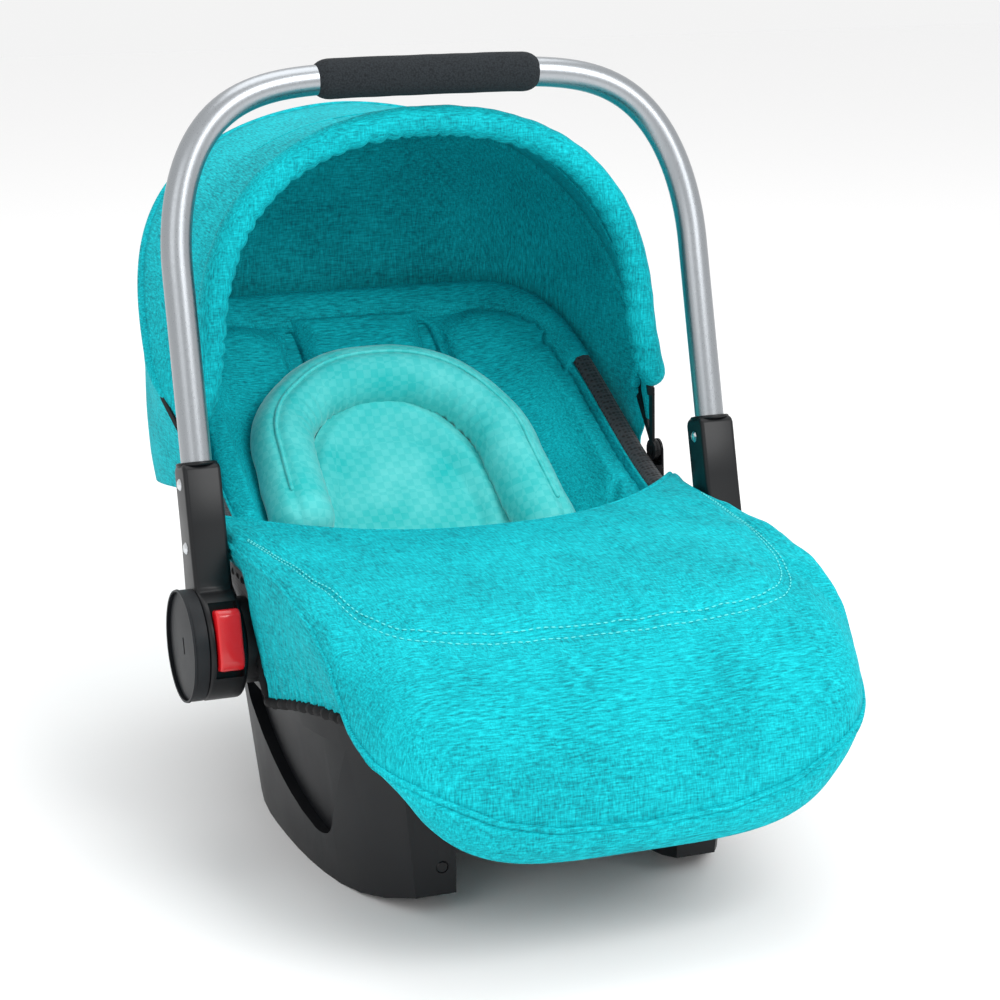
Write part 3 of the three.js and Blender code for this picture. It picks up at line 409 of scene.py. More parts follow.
def linear(hex_colour):
    """An sRGB hex colour as linear RGBA."""
    values = [int(hex_colour[i:i + 2], 16) / 255 for i in (1, 3, 5)]
    return (*[c / 12.92 if c <= 0.04045 else ((c + 0.055) / 1.055) ** 2.4 for c in values], 1.0)


def node(tree, kind, *links, out=0, to=None, stops=(), **settings):
    """Adds a node and gives one of its outputs. links are (input, socket or value) pairs, settings
    its properties or inputs, to an input it feeds, and stops a colour ramp's (place, colour)."""
    made = tree.nodes.new(kind)
    for key, value in settings.items():
        if hasattr(made, key) and key not in made.inputs:
            setattr(made, key, value)
        else:
            made.inputs[key.replace("_", " ")].default_value = value
    for key, source in links:
        if isinstance(source, bpy.types.NodeSocket):
            tree.links.new(made.inputs[key], source)
        else:
            made.inputs[key].default_value = source
    for i, (place, colour) in enumerate(stops):
        spot = made.color_ramp.elements[i] if i < 2 else made.color_ramp.elements.new(place)
        spot.position, spot.color = place, colour
    if to:
        tree.links.new(to, made.outputs[out])
    return made.outputs[out]


def material(name, colour, roughness, **sockets):
    """A Principled material, its tree, its shader's inputs and its Object coordinates."""
    made = bpy.data.materials.new(name)
    made.use_nodes = True
    tree = made.node_tree
    inputs = tree.nodes["Principled BSDF"].inputs
    inputs["Base Color"].default_value = linear(colour) if isinstance(colour, str) else colour
    inputs["Roughness"].default_value = roughness
    for key, value in sockets.items():
        inputs[key.replace("_", " ")].default_value = value
    return made, tree, inputs, node(tree, "ShaderNodeTexCoord", out="Object")


def threads(tree, place, across_mm, along_mm, axis):
    """Noise drawn out along one axis, as slubs in a yarn are."""
    scale = [1 / (across_mm * MM)] * 3
    scale[axis] = 1 / (along_mm * MM)
    drawn = node(tree, "ShaderNodeMapping", ("Vector", place), Scale=scale)
    return node(tree, "ShaderNodeTexNoise", ("Vector", drawn), Scale=1.0, Detail=2.0, Roughness=0.6)


def melange(name, dark, middle, light):
    """Polyester melange plain weave: yarns of mixed shades cross each other, and a soft
    fibre sheen lifts the edges. Yarns are drawn at about 1 mm so that they show."""
    made, tree, inputs, place = material(
        name, middle, 0.85, Sheen_Weight=0.08, Sheen_Roughness=0.4, Sheen_Tint=light, Specular_IOR_Level=0.2)
    facing = node(tree, "ShaderNodeTexCoord", out="Normal")
    sides = node(tree, "ShaderNodeSeparateXYZ", ("Vector", facing)).node.outputs
    total, weight = 0.0, 0.0
    for axis, side in enumerate("XYZ"):
        size = node(tree, "ShaderNodeMath", (0, sides[side]), (1, 0), operation="ABSOLUTE")
        flat = node(tree, "ShaderNodeMath", (0, 1.02), (1, size), operation="SUBTRACT")
        share = node(tree, "ShaderNodeMath", (0, flat), (1, 1.5), operation="POWER")
        yarn = threads(tree, place, 1.1, 8.0, axis)
        part = node(tree, "ShaderNodeMath", (0, share), (1, yarn), operation="MULTIPLY")
        total = node(tree, "ShaderNodeMath", (0, part), (1, total), operation="ADD")
        weight = node(tree, "ShaderNodeMath", (0, share), (1, weight), operation="ADD")
    both = node(tree, "ShaderNodeMath", (0, total), (1, weight), operation="DIVIDE")
    cloud = node(tree, "ShaderNodeTexNoise", ("Vector", place), Scale=18.0, Detail=2.0)
    fine = node(tree, "ShaderNodeMath", (0, both), (1, 0.85), operation="MULTIPLY")
    broad = node(tree, "ShaderNodeMath", (0, cloud), (1, 0.15), operation="MULTIPLY")
    level = node(tree, "ShaderNodeMath", (0, fine), (1, broad), operation="ADD")
    node(tree, "ShaderNodeValToRGB", ("Fac", level), to=inputs["Base Color"],
         stops=((0.36, dark), (0.66, light), (0.5, middle)))
    node(tree, "ShaderNodeBump", ("Height", both), to=inputs["Normal"], Strength=0.35, Distance=0.5 * MM)
    return made


def velour(colour):
    """Short-pile velour with an embossed check of 6 mm squares: the pile catches light at
    grazing angles, and pressed squares turn it a little darker."""
    made, tree, inputs, place = material(
        "Velour, embossed check, mint", colour, 0.62, Sheen_Weight=0.6, Sheen_Roughness=0.35,
        Sheen_Tint=linear("#E4FFFA"), Specular_IOR_Level=0.25)
    turned = node(tree, "ShaderNodeMapping", ("Vector", place), Rotation=(math.radians(42), 0, 0))
    check = node(tree, "ShaderNodeTexChecker", ("Vector", turned), out="Fac", Scale=1 / (6 * MM),
                 Color1=(1, 1, 1, 1), Color2=(0, 0, 0, 1))
    pile = node(tree, "ShaderNodeTexNoise", ("Vector", place), Scale=900.0, Detail=2.0)
    stroke = node(tree, "ShaderNodeTexNoise", ("Vector", place), Scale=26.0, Detail=3.0)
    pressed = node(tree, "ShaderNodeMath", (0, check), (1, 0.12), operation="MULTIPLY")
    brushed = node(tree, "ShaderNodeMath", (0, stroke), (1, 0.9), operation="MULTIPLY")
    level = node(tree, "ShaderNodeMath", (0, pressed), (1, brushed), operation="ADD")
    node(tree, "ShaderNodeValToRGB", ("Fac", level), to=inputs["Base Color"],
         stops=((0.25, linear("#22C4C4")), (0.8, linear("#70E2E0"))))
    soft = node(tree, "ShaderNodeBump", ("Height", pile), Strength=0.25, Distance=0.3 * MM)
    node(tree, "ShaderNodeBump", ("Height", check), ("Normal", soft), to=inputs["Normal"],
         Strength=0.35, Distance=0.6 * MM)
    return made


def moulded(name, colour, roughness, grain_mm=0.6, depth=0.12):
    """Injection-moulded polypropylene: spark-eroded grain, slight wear in the sheen."""
    made, tree, inputs, place = material(name, colour, roughness, Specular_IOR_Level=0.32)
    grain = node(tree, "ShaderNodeTexNoise", ("Vector", place), Scale=1 / (grain_mm * MM), Detail=3.0)
    patch = node(tree, "ShaderNodeTexNoise", ("Vector", place), Scale=14.0, Detail=4.0)
    node(tree, "ShaderNodeMapRange", ("Value", patch), to=inputs["Roughness"], From_Min=0.3, From_Max=0.7,
         To_Min=roughness - 0.06, To_Max=roughness + 0.06)
    node(tree, "ShaderNodeBump", ("Height", grain), to=inputs["Normal"], Strength=depth, Distance=0.3 * MM)
    return made


def aluminium():
    """Extruded aluminium tube, fine bead blast and clear anodise: broad soft highlights with
    faint lines drawn along the tube."""
    made, tree, inputs, place = material("Aluminium tube, satin anodised", "#A2A6AA", 0.34, Metallic=1.0)
    grain = node(tree, "ShaderNodeTexNoise", ("Vector", place), Scale=2200.0, Detail=2.0)
    drawn = threads(tree, place, 0.8, 60.0, 2)
    node(tree, "ShaderNodeMapRange", ("Value", drawn), to=inputs["Roughness"], From_Min=0.3, From_Max=0.7,
         To_Min=0.26, To_Max=0.36)
    node(tree, "ShaderNodeBump", ("Height", grain), to=inputs["Normal"], Strength=0.06, Distance=0.1 * MM)
    return made


def zinc():
    """Zinc-plated steel: bright, with a slightly uneven plated surface."""
    made, tree, inputs, place = material("Steel, zinc plated", "#D2D5D8", 0.28, Metallic=1.0)
    grain = node(tree, "ShaderNodeTexNoise", ("Vector", place), Scale=700.0, Detail=3.0)
    node(tree, "ShaderNodeBump", ("Height", grain), to=inputs["Normal"], Strength=0.08, Distance=0.1 * MM)
    return made


def foam_skin():
    """Closed-cell foam sleeve: matt, with fine pores about 1 mm across."""
    made, tree, inputs, place = material("Closed-cell foam, black", "#24282C", 0.93, Specular_IOR_Level=0.25)
    cells = node(tree, "ShaderNodeTexVoronoi", ("Vector", place), Scale=1 / (1.3 * MM))
    node(tree, "ShaderNodeValToRGB", ("Fac", cells), to=inputs["Base Color"],
         stops=((0.0, linear("#2E3337")), (1.0, linear("#181B1E"))))
    node(tree, "ShaderNodeBump", ("Height", cells), to=inputs["Normal"], Strength=0.35, Distance=0.4 * MM)
    return made


def bead_foam():
    """Expanded polystyrene: white beads about 4 mm across, pressed together."""
    made, tree, inputs, place = material("Expanded polystyrene, white", "#E9E9E6", 0.75)
    beads = node(tree, "ShaderNodeTexVoronoi", ("Vector", place), Scale=1 / (4 * MM))
    node(tree, "ShaderNodeBump", ("Height", beads), to=inputs["Normal"], Strength=0.4, Distance=0.5 * MM)
    return made


def spacer_mesh():
    """Knitted polyester spacer mesh: a black net of 3 mm round holes, the holes painted near black as painted
    shade inside them.
    """
    made, tree, inputs, place = material("Spacer mesh, black", "#17181A", 0.8, Sheen_Weight=0.2)
    cells = node(tree, "ShaderNodeTexVoronoi", ("Vector", place), Scale=1 / (3.2 * MM), Randomness=0.15)
    # painted shade: the ramp paints the hole centres near black and the net between them lighter
    node(tree, "ShaderNodeValToRGB", ("Fac", cells), to=inputs["Base Color"],
         stops=((0.25, linear("#060607")), (0.5, linear("#34363A"))))
    node(tree, "ShaderNodeBump", ("Height", cells), to=inputs["Normal"], Strength=0.8, Distance=0.8 * MM)
    return made


def webbing_weave():
    """Polyester webbing: narrow lengthwise ribs about 1.2 mm apart."""
    made, tree, inputs, place = material("Polyester webbing, black", "#212428", 0.7, Sheen_Weight=0.2)
    ribs = node(tree, "ShaderNodeTexWave", ("Vector", place), out="Fac", Scale=1 / (1.2 * MM) / 6.283)
    node(tree, "ShaderNodeBump", ("Height", ribs), to=inputs["Normal"], Strength=0.4, Distance=0.4 * MM)
    return made


def red_gloss(colour):
    """Glossy red ABS: a clear highlight with very slight flow ripple."""
    made, tree, inputs, place = material("ABS, glossy red", colour, 0.22, Coat_Weight=0.3)
    ripple = node(tree, "ShaderNodeTexNoise", ("Vector", place), Scale=120.0, Detail=1.0)
    node(tree, "ShaderNodeBump", ("Height", ripple), to=inputs["Normal"], Strength=0.04, Distance=0.2 * MM)
    return made


FINISHES = {}


def finishes():
    """Every finish of the seat by its short name, made once."""
    if not FINISHES:
        chosen = bpy.context.scene.car_seat
        fabric = [tuple(tone) for tone in (chosen.fabric_shade, chosen.fabric_colour, chosen.fabric_light)]
        FINISHES.update(
            teal=melange("Melange weave, teal", *fabric),
            mint=velour(tuple(chosen.insert_colour)),
            base=moulded("Polypropylene, dark grey", tuple(chosen.base_colour), 0.46, 0.7, 0.1),
            arm=moulded("Polypropylene, black satin", "#0B0D10", 0.36, 0.5, 0.06),
            disc=moulded("Polypropylene, mid grey", "#14171B", 0.5, 0.6, 0.12),
            tube=aluminium(), steel=zinc(), foam=foam_skin(), liner=bead_foam(), mesh=spacer_mesh(),
            web=webbing_weave(), red=red_gloss(tuple(chosen.button_colour)),
            binding=moulded("Polyester binding, black", "#0C0D0F", 0.85, 0.8, 0.4),
            thread=moulded("Sewing thread, light teal", "#5FDEDF", 0.7, 0.5, 0.2),
        )
    return FINISHES


def dress(obj, finish, body=None, stands_for=()):
    """Gives a piece its finish, its body and the CAD nodes it replaces."""
    obj.data.materials.clear()
    obj.data.materials.append(finishes()[finish])
    if body:
        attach(obj, body)
    if stands_for:
        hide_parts(*stands_for)
    return obj


def dress_pair(obj, finish, body, stands_for=None):
    """Dresses a right-hand piece and its mirror copy. Names that end in _right end in _left there."""
    twin = mirror_copy(obj, obj.name.replace("right", "left"))
    for piece, side in ((obj, "right"), (twin, "left")):
        nodes = [f"{stands_for}_{side}"] if stands_for else ()
        dress(piece, finish, body.replace("right", side), nodes)


# ---- Lines and bands ------------------------------------------------------------------------


def ring_frames(points, up):
    """Point, outward and upward directions along a line, kept true to one up direction."""
    pts = [Vector(p) for p in points]
    rows = []
    for i, p in enumerate(pts):
        t = (pts[min(i + 1, len(pts) - 1)] - pts[max(i - 1, 0)]).normalized()
        out = t.cross(up).normalized()
        rows.append((p, t, out, out.cross(t).normalized()))
    return rows


def ring_faces(rings, sides):
    """Faces between rings of points, each ring joined to the next."""
    faces = []
    for i in range(rings - 1):
        low, high = i * sides, (i + 1) * sides
        for k in range(sides):
            m = (k + 1) % sides
            faces.append((low + k, low + m, high + m, high + k))
    return faces


def rope(name, points, up, radius, sides=20, wave=None, caps=5):
    """A stuffed roll with round ends. Angle 0 is its outer side and 90 degrees its upper side;
    wave(f, angle) adds to the radius, f being the share of the way along."""
    rows = ring_frames(points, up)
    last = len(rows) - 1
    rings = [(p, out, top, radius, i / last, 1.0) for i, (p, t, out, top) in enumerate(rows)]
    head, tail = [], []
    for k in range(1, caps):
        a = k / caps * math.pi / 2
        for store, row, sign, f in ((head, rows[0], -1, 0.0), (tail, rows[-1], 1, 1.0)):
            p, t, out, top = row
            centre = p + t * sign * radius * math.sin(a)
            store.append((centre, out, top, radius * math.cos(a), f, math.cos(a)))
    rings = head[::-1] + rings + tail
    verts = []
    for p, out, top, r, f, share in rings:
        for k in range(sides):
            a = 2 * math.pi * k / sides
            rr = r + (wave(f, a) * share if wave else 0)
            verts.append(p + out * math.cos(a) * rr + top * math.sin(a) * rr)
    faces = ring_faces(len(rings), sides)
    verts += [rows[0][0] - rows[0][1] * radius, rows[-1][0] + rows[-1][1] * radius]
    low, high, top_ring = len(verts) - 2, len(verts) - 1, (len(rings) - 1) * sides
    for k in range(sides):
        m = (k + 1) % sides
        faces += [(low, m, k), (high, top_ring + k, top_ring + m)]
    obj = new_object(name, verts, faces)
    outward(obj)
    return obj


def on_rope(points, up, radius, angle, f0=0.0, f1=1.0):
    """A line lying on a rope's surface at one angle round it."""
    rows = ring_frames(points, up)
    last = len(rows) - 1
    return [p + (out * math.cos(angle) + top * math.sin(angle)) * radius
            for i, (p, t, out, top) in enumerate(rows) if f0 <= i / last <= f1]


def band(name, points, x, width=25.0, thick=1.5):
    """Flat webbing whose middle follows (y, z) points, with soft edges."""
    pts = resample([(x, y, z) for y, z in points], 5)
    rows = []
    for i, p in enumerate(pts):
        t = (pts[min(i + 1, len(pts) - 1)] - pts[max(i - 1, 0)]).normalized()
        n = t.cross(Vector((1, 0, 0))).normalized()
        rows.append((p, n))
    half, h = width / 2, thick / 2
    section = [(-half, 0), (-half + 0.6, h), (-half / 3, h), (half / 3, h), (half - 0.6, h), (half, 0),
               (half - 0.6, -h), (half / 3, -h), (-half / 3, -h), (-half + 0.6, -h)]
    verts = [p + Vector((sx, 0, 0)) + n * sn for p, n in rows for sx, sn in section]
    m = len(section)
    faces = ring_faces(len(rows), m)
    faces += [tuple(range(m)), tuple(range((len(rows) - 1) * m, len(rows) * m))]
    obj = new_object(name, verts, faces)
    outward(obj)
    return crisp(obj, 50)


def wrinkle(p, scale_mm, seed=0.0):
    """Smooth repeatable noise from -1 to 1 at a point in millimetres."""
    return noise.noise(Vector(p) / scale_mm + Vector((seed, seed * 0.7, 3.1)))


def square_to_disc(u, v):
    a, b = 2 * u - 1, 2 * v - 1
    return a * math.sqrt(max(1 - b * b / 2, 0)), b * math.sqrt(max(1 - a * a / 2, 0))


# ---- Sizes and colours a user may change ----------------------------------------------------


class CarSeatSettings(bpy.types.PropertyGroup):
    """Sizes and colours of the visible pieces."""
    tube_radius: bpy.props.FloatProperty(
        name="Tube radius", description="Outside radius of the handle tube", default=0.011, unit="LENGTH")
    grip_radius: bpy.props.FloatProperty(
        name="Grip radius", description="Outside radius of the foam grip", default=0.0146, unit="LENGTH")
    hood_edge: bpy.props.FloatProperty(
        name="Hood edge", description="Radius of the gathered front edge of the hood", default=0.0112,
        unit="LENGTH")
    insert_radius: bpy.props.FloatProperty(
        name="Insert roll radius", description="Radius of the newborn insert's roll", default=0.0245,
        unit="LENGTH")
    piping_radius: bpy.props.FloatProperty(
        name="Piping radius", description="Radius of the piping in the seams", default=0.0016, unit="LENGTH")
    pressure: bpy.props.FloatProperty(
        name="Filling", description="Pressure that fills the cushions", default=4.0, min=0.0, max=8.0)
    fabric_shade: bpy.props.FloatVectorProperty(
        name="Fabric shade", description="Darkest yarn of the seat fabric", default=linear("#007A84"),
        size=4, min=0.0, max=1.0, subtype="COLOR")
    fabric_colour: bpy.props.FloatVectorProperty(
        name="Fabric colour", description="Main yarn of the seat fabric", default=linear("#00A9B4"),
        size=4, min=0.0, max=1.0, subtype="COLOR")
    fabric_light: bpy.props.FloatVectorProperty(
        name="Fabric light", description="Lightest yarn of the seat fabric", default=linear("#12D0DA"),
        size=4, min=0.0, max=1.0, subtype="COLOR")
    insert_colour: bpy.props.FloatVectorProperty(
        name="Insert colour", description="Ground colour of the newborn insert", default=linear("#3ED0CC"),
        size=4, min=0.0, max=1.0, subtype="COLOR")
    base_colour: bpy.props.FloatVectorProperty(
        name="Base colour", description="Plastic of the shell and the rocker base", default=linear("#0C0E12"),
        size=4, min=0.0, max=1.0, subtype="COLOR")
    button_colour: bpy.props.FloatVectorProperty(
        name="Button colour", description="Plastic of the release buttons", default=linear("#D8101A"),
        size=4, min=0.0, max=1.0, subtype="COLOR")


class CarSeatStep:
    """Shared by the operators: each builds its pieces from the scene's settings."""
    bl_options = {"REGISTER", "UNDO"}

    @property
    def sizes(self):
        return bpy.context.scene.car_seat


class CARSEAT_OT_tube(CarSeatStep, bpy.types.Operator):
    """Handle tube and foam grip"""
    bl_idname = "carseat.tube"
    bl_label = "Handle tube and grip"

    def execute(self, context):
        line = resample([handle_point(i / 300) for i in range(-300, 301)], 6)
        up = Vector((0, math.cos(math.radians(LEAN)), -math.sin(math.radians(LEAN))))
        tube_obj = rope("handle_tube_drawn", line, up, self.sizes.tube_radius / MM, sides=32, caps=3)
        dress(tube_obj, "tube", "handle", ["handle_tube"])
        top = [p for p in line if abs(p.x) < 77]
        grip = rope("grip_sleeve", resample(top, 3), up, self.sizes.grip_radius / MM, sides=32, caps=7,
                    wave=lambda f, a: 0.25 * wrinkle((f * 160, math.cos(a) * 15, math.sin(a) * 15), 18))
        dress(grip, "foam", "handle", ["handle_grip"])
        return {"FINISHED"}


def arm_outline(grow=0.0):
    """(y, z) outline of the arm about the hub: the hub's round and the socket rising from it."""
    r, half, top = HUB_RADIUS + grow, 14 + grow, SOCKET_TOP + grow
    points = [(r * math.cos(math.radians(a)), r * math.sin(math.radians(a))) for a in range(112, 428, 6)]
    y0, z0 = points[-1]
    for k in range(1, 9):
        t = k / 8
        points.append((mix(mix(y0, half, t), half, t), mix(mix(z0, 50, t), 84, t) if t else z0))
    points += [(half, top - 5), (half - 2, top - 1), (half - 5, top), (-half + 5, top), (-half + 2, top - 1),
               (-half, top - 5)]
    y1, z1 = points[0]
    for k in range(8, 0, -1):
        t = k / 8
        points.append((mix(mix(y1, -half, t), -half, t), mix(mix(z1, 50, t), 84, t)))
    return points


def set_in_lean(obj):
    """Turns a piece made about an upright hub at the origin into the carry position."""
    turn = Matrix.Rotation(-math.radians(LEAN), 4, (1, 0, 0))
    obj.data.transform(Matrix.Translation((0, HUB_Y * MM, HUB_Z * MM)) @ turn)
    return obj


class CARSEAT_OT_arms(CarSeatStep, bpy.types.Operator):
    """Arms that hold the tube, with their sockets"""
    bl_idname = "carseat.arms"
    bl_label = "Handle arms"

    def execute(self, context):
        arm = outline_solid("arm_moulding_right", arm_outline(), 186, 213.5, 4.0, 5, 30)
        slot = outline_solid("slot", [(-60, -24), (-60, 29), (-22, 29), (-22, -24)], 189, 209, 0)
        cut(arm, slot)
        bpy.ops.object.select_all(action="DESELECT")
        bpy.ops.mesh.primitive_cylinder_add(vertices=48, radius=11.3 * MM, depth=80 * MM,
                                            location=(SPAN * MM, 0, (SOCKET_TOP - 25) * MM))
        bore = bpy.context.object
        cut(arm, bore)
        bpy.ops.mesh.primitive_torus_add(major_radius=13.2 * MM, minor_radius=1.5 * MM, major_segments=48,
                                         minor_segments=12, location=(SPAN * MM, 0, SOCKET_TOP * MM - 0.0004))
        collar = settled("arm_collar_right")
        for piece, stands in ((arm, "handle_arm"), (collar, None)):
            dress_pair(set_in_lean(crisp(piece, 40)), "arm", "handle", stands)
        return {"FINISHED"}


class CARSEAT_OT_discs(CarSeatStep, bpy.types.Operator):
    """Discs over the hubs, with an engraved ring and a small slot"""
    bl_idname = "carseat.discs"
    bl_label = "Hub discs"

    def execute(self, context):
        bpy.ops.object.select_all(action="DESELECT")
        bpy.ops.mesh.primitive_cylinder_add(vertices=96, radius=39.6 * MM, depth=8.4 * MM,
                                            location=(217.8 * MM, 0, 0), rotation=(0, math.pi / 2, 0))
        disc = settled("hub_disc_right")
        bpy.ops.object.mode_set(mode="EDIT")
        bpy.ops.mesh.select_all(action="DESELECT")
        bpy.ops.object.mode_set(mode="OBJECT")
        for poly in disc.data.polygons:
            poly.select = poly.normal.x > 0.9
        bpy.ops.object.mode_set(mode="EDIT")
        bpy.ops.mesh.bevel(offset=1.6 * MM, segments=3, affect="EDGES")
        bpy.ops.object.mode_set(mode="OBJECT")
        biggest = max((p for p in disc.data.polygons if p.normal.x > 0.99), key=lambda p: p.area)
        for poly in disc.data.polygons:
            poly.select = poly.index == biggest.index
        bpy.ops.object.mode_set(mode="EDIT")
        for inset, sink in ((4.2, -1.3), (1.6, 1.3), (1.2, 0.0)):
            bpy.ops.mesh.inset(thickness=inset * MM)
            if sink:
                bpy.ops.mesh.inset(thickness=0.15 * MM, depth=sink * MM)
        bpy.ops.object.mode_set(mode="OBJECT")
        slot = outline_solid("slot", [(-1.6, -6), (-1.6, 6), (1.6, 6), (1.6, -6)], 220, 230, 0)
        cut(disc, slot)
        dress_pair(set_in_lean(crisp(disc, 30)), "disc", "handle", "hub_cover")
        return {"FINISHED"}


class CARSEAT_OT_rivets(CarSeatStep, bpy.types.Operator):
    """Domed rivets that hold the tube in its sockets"""
    bl_idname = "carseat.rivets"
    bl_label = "Rivets"

    def execute(self, context):
        for label, height in (("lower", 68), ("upper", 113)):
            bpy.ops.object.select_all(action="DESELECT")
            bpy.ops.mesh.primitive_uv_sphere_add(segments=32, ring_count=16, radius=4.2 * MM,
                                                 location=(213.2 * MM, 0, height * MM))
            bpy.ops.transform.resize(value=(0.42, 1, 1))
            head = settled(f"rivet_head_{label}_right")
            for poly in head.data.polygons:
                poly.use_smooth = True
            dress_pair(set_in_lean(head), "steel", "handle")
        return {"FINISHED"}


class CARSEAT_OT_buttons(CarSeatStep, bpy.types.Operator):
    """Red release buttons in the arms"""
    bl_idname = "carseat.buttons"
    bl_label = "Release buttons"

    def execute(self, context):
        side = [(-45.5, -12), (-45.5, 20), (-42, 24), (-31, 24), (-31, -19), (-40, -19), (-43.5, -17)]
        button = outline_solid("button_red_right", side, 190.3, 207.7, 2.2, 4, 25)
        dress_pair(set_in_lean(crisp(button, 40)), "red", "release_button_right", "release_button")
        return {"FINISHED"}


# ---- Hood -----------------------------------------------------------------------------------


def hoop_line(tilt, start=28.0, side_x=STUD_X, proud=0.0, count=160):
    return [polar(*hoop(tilt, i / count, start, side_x, proud), tilt) for i in range(count + 1)]


def plane_up(tilt):
    """Direction out of a hoop's plane, so that a rope's angle 0 is its outer side."""
    a = math.radians(tilt)
    return Vector((0, -math.cos(a), math.sin(a)))


def hood_panel(name, tilt0, tilt1, clear0, clear1, rows, columns, shape):
    """A fabric panel between two tilts; shape(u, v, x, r) adds to its distance from the pivot."""
    def point(u, v):
        tilt = mix(tilt0, tilt1, v)
        x, r = hoop(tilt, u)
        r += shape(u, v, x, r)
        edge0 = math.degrees(math.asin(min(clear0 / r, 0.5)))
        edge1 = math.degrees(math.asin(min(clear1 / r, 0.5)))
        return polar(x, r, mix(tilt0 + edge0, tilt1 - edge1, v))
    obj = sheet_mesh(name, columns, rows, point, (0.8, 0.2))
    modify(obj, "SOLIDIFY", thickness=1.6 * MM, offset=0.0)
    outward(obj)
    return obj


class CARSEAT_OT_hood(CarSeatStep, bpy.types.Operator):
    """Hood: gathered front edge, two panels, bow sleeve and skirt"""
    bl_idname = "carseat.hood"
    bl_label = "Hood"

    def execute(self, context):
        line = resample(hoop_line(FRONT_TILT, 62, 183.2), 3)

        def gathers(f, a):
            inner = max(-math.cos(a), 0)
            phase = f * 46 + 1.3 * wrinkle((f * 900, 0, 0), 90)
            tuck = 2.6 * abs(math.sin(phase * math.pi)) ** 0.7 - 2.0
            return inner * tuck + 0.7 * wrinkle((f * 900, a * 12, 0), 16)
        edge = rope("hood_edge_roll", line, plane_up(FRONT_TILT), self.sizes.hood_edge / MM, 28, gathers)
        dress(edge, "teal", "canopy_front_bow", ["canopy_roll"])

        def front_shape(u, v, x, r):
            near = math.exp(-v * 7)
            return 1.2 * near * math.sin(u * 46 * math.pi) - 3.0 * math.sin(v * math.pi) \
                + 1.2 * wrinkle((u * 700, v * 160, 0), 60)
        front = hood_panel("hood_front_panel", FRONT_TILT, REAR_TILT, 8, 3, 24, 240, front_shape)
        dress(front, "teal", None, ["canopy_front_panel"])
        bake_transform(front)

        def rear_shape(u, v, x, r):
            return -2.5 * math.sin(min(v * 1.6, 1) * math.pi) + 1.4 * wrinkle((u * 700, v * 260, 0), 70, 2.0)
        rear = hood_panel("hood_rear_panel", REAR_TILT, SKIRT_TILT, 2, 0, 40, 200, rear_shape)
        dress(rear, "teal", None, ["canopy_rear_panel"])
        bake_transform(rear)

        for label, tilt in (("front", 10.5), ("middle", 24.0)):
            row = resample(hoop_line(tilt, 60, 178, -3.4), 4)
            seam = rope(f"hood_seam_{label}", row, plane_up(tilt), 1.3, 10)
            dress(seam, "teal")
            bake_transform(seam)

        row = resample(hoop_line(REAR_TILT, 60, 176), 4)
        sleeve = rope("hood_bow_sleeve", row, plane_up(REAR_TILT), 4.4, 14)
        dress(sleeve, "teal", "canopy_rear_bow")
        return {"FINISHED"}


# ---- Seat padding ---------------------------------------------------------------------------


def spread(u):
    return math.sin(u * math.pi / 2)


def pad_between(name, across, y0, y1, deep, shallow, nu, nv, below=2.0):
    """A closed pad between two depths of the bucket, its top edge kept below the rim.
    across(u, half) gives x for u from 0 to 1, half being the bucket's half width there."""
    def surface(inset):
        def point(u, v):
            y = mix(y0, y1, v)
            x = across(u, shell_half(y, inset))
            return Vector((x, y, min(bucket_z(x, y, inset), rim_z(y) - below)))
        return point
    return closed_mesh(name, nu, nv, surface(shallow), surface(deep))


def quilt_lines(obj):
    """Presses the bolster's sewn line into it, running along the side below the rim."""
    for v in obj.data.vertices:
        x, y, z = v.co / MM
        drop = rim_z(y) - z
        line = 52 + 0.1 * (y - 60)
        press = math.exp(-((drop - line) / 4.0) ** 2) * smooth(-190, -150, y)
        v.co -= v.normal * press * 3.2 * MM


class CARSEAT_OT_pads(CarSeatStep, bpy.types.Operator):
    """Seat cushion, back cushion and side bolsters"""
    bl_idname = "carseat.pads"
    bl_label = "Seat cushions"

    def execute(self, context):
        pressure = self.sizes.pressure
        base = WALL + LINER
        foot = SHELL_FOOT + 55

        def centre(u, half):
            return mix(-56, 56, u)
        for name, node_name, y0, y1, rows in (("cushion_seat", "seat_cushion", foot, 7, 44),
                                              ("cushion_back", "back_cushion", 9, 271, 60)):
            pad = pad_between(name, centre, y0, y1, base + 1.5, base + 13, 24, rows)
            puff(pad, pressure, 5, 5)
            dress(pad, "teal", "seat", [node_name])
        backing = pad_between("seat_cover_backing", lambda u, half: half * spread(2 * u - 1), foot - 5, 273,
                              base + 0.6, base + 3, 72, 72, below=1.5)
        dress(backing, "teal", "seat")
        side = pad_between("bolster_right", lambda u, half: mix(58.5, half, spread(u)), foot, 271,
                           base + 2, base + 19, 30, 90)
        puff(side, pressure, 5, 6)
        quilt_lines(side)
        dress_pair(side, "teal", "seat", "side_bolster")
        return {"FINISHED"}


def rim_strip(name, path, section):
    """A strip of cloth along a line of (x, y, outward) places on the rim; section(y) gives its
    (outward, upward) profile from the inside of the rim to the outside."""
    rows = []
    for x, y, out in path:
        held = min(y, SHELL_HEAD)
        rows.append([Vector((x, y, rim_z(held) + up)) + out * aside for aside, up in section(held)])
    obj = new_object(name, [p for row in rows for p in row], grid_faces(len(rows), len(rows[0])))
    modify(obj, "SOLIDIFY", thickness=1.6 * MM, offset=0.0)
    outward(obj)
    return obj


def side_section(y):
    depth = max(rim_z(y) - seat_line(y) + PAD_TOP, 60)
    profile = [(-13.5, -14), (-12.5, -3), (-9.5, 2.0), (-4, 3.2), (0.5, 2.6), (2.2, 0)]
    for down in range(4, 51, 5):
        s = (1 - min(down / depth, 0.99) ** 1.7) ** (1 / 3.2)
        profile.append((2.2 - (1 - s) * SHELL_HALF, -down))
    return profile


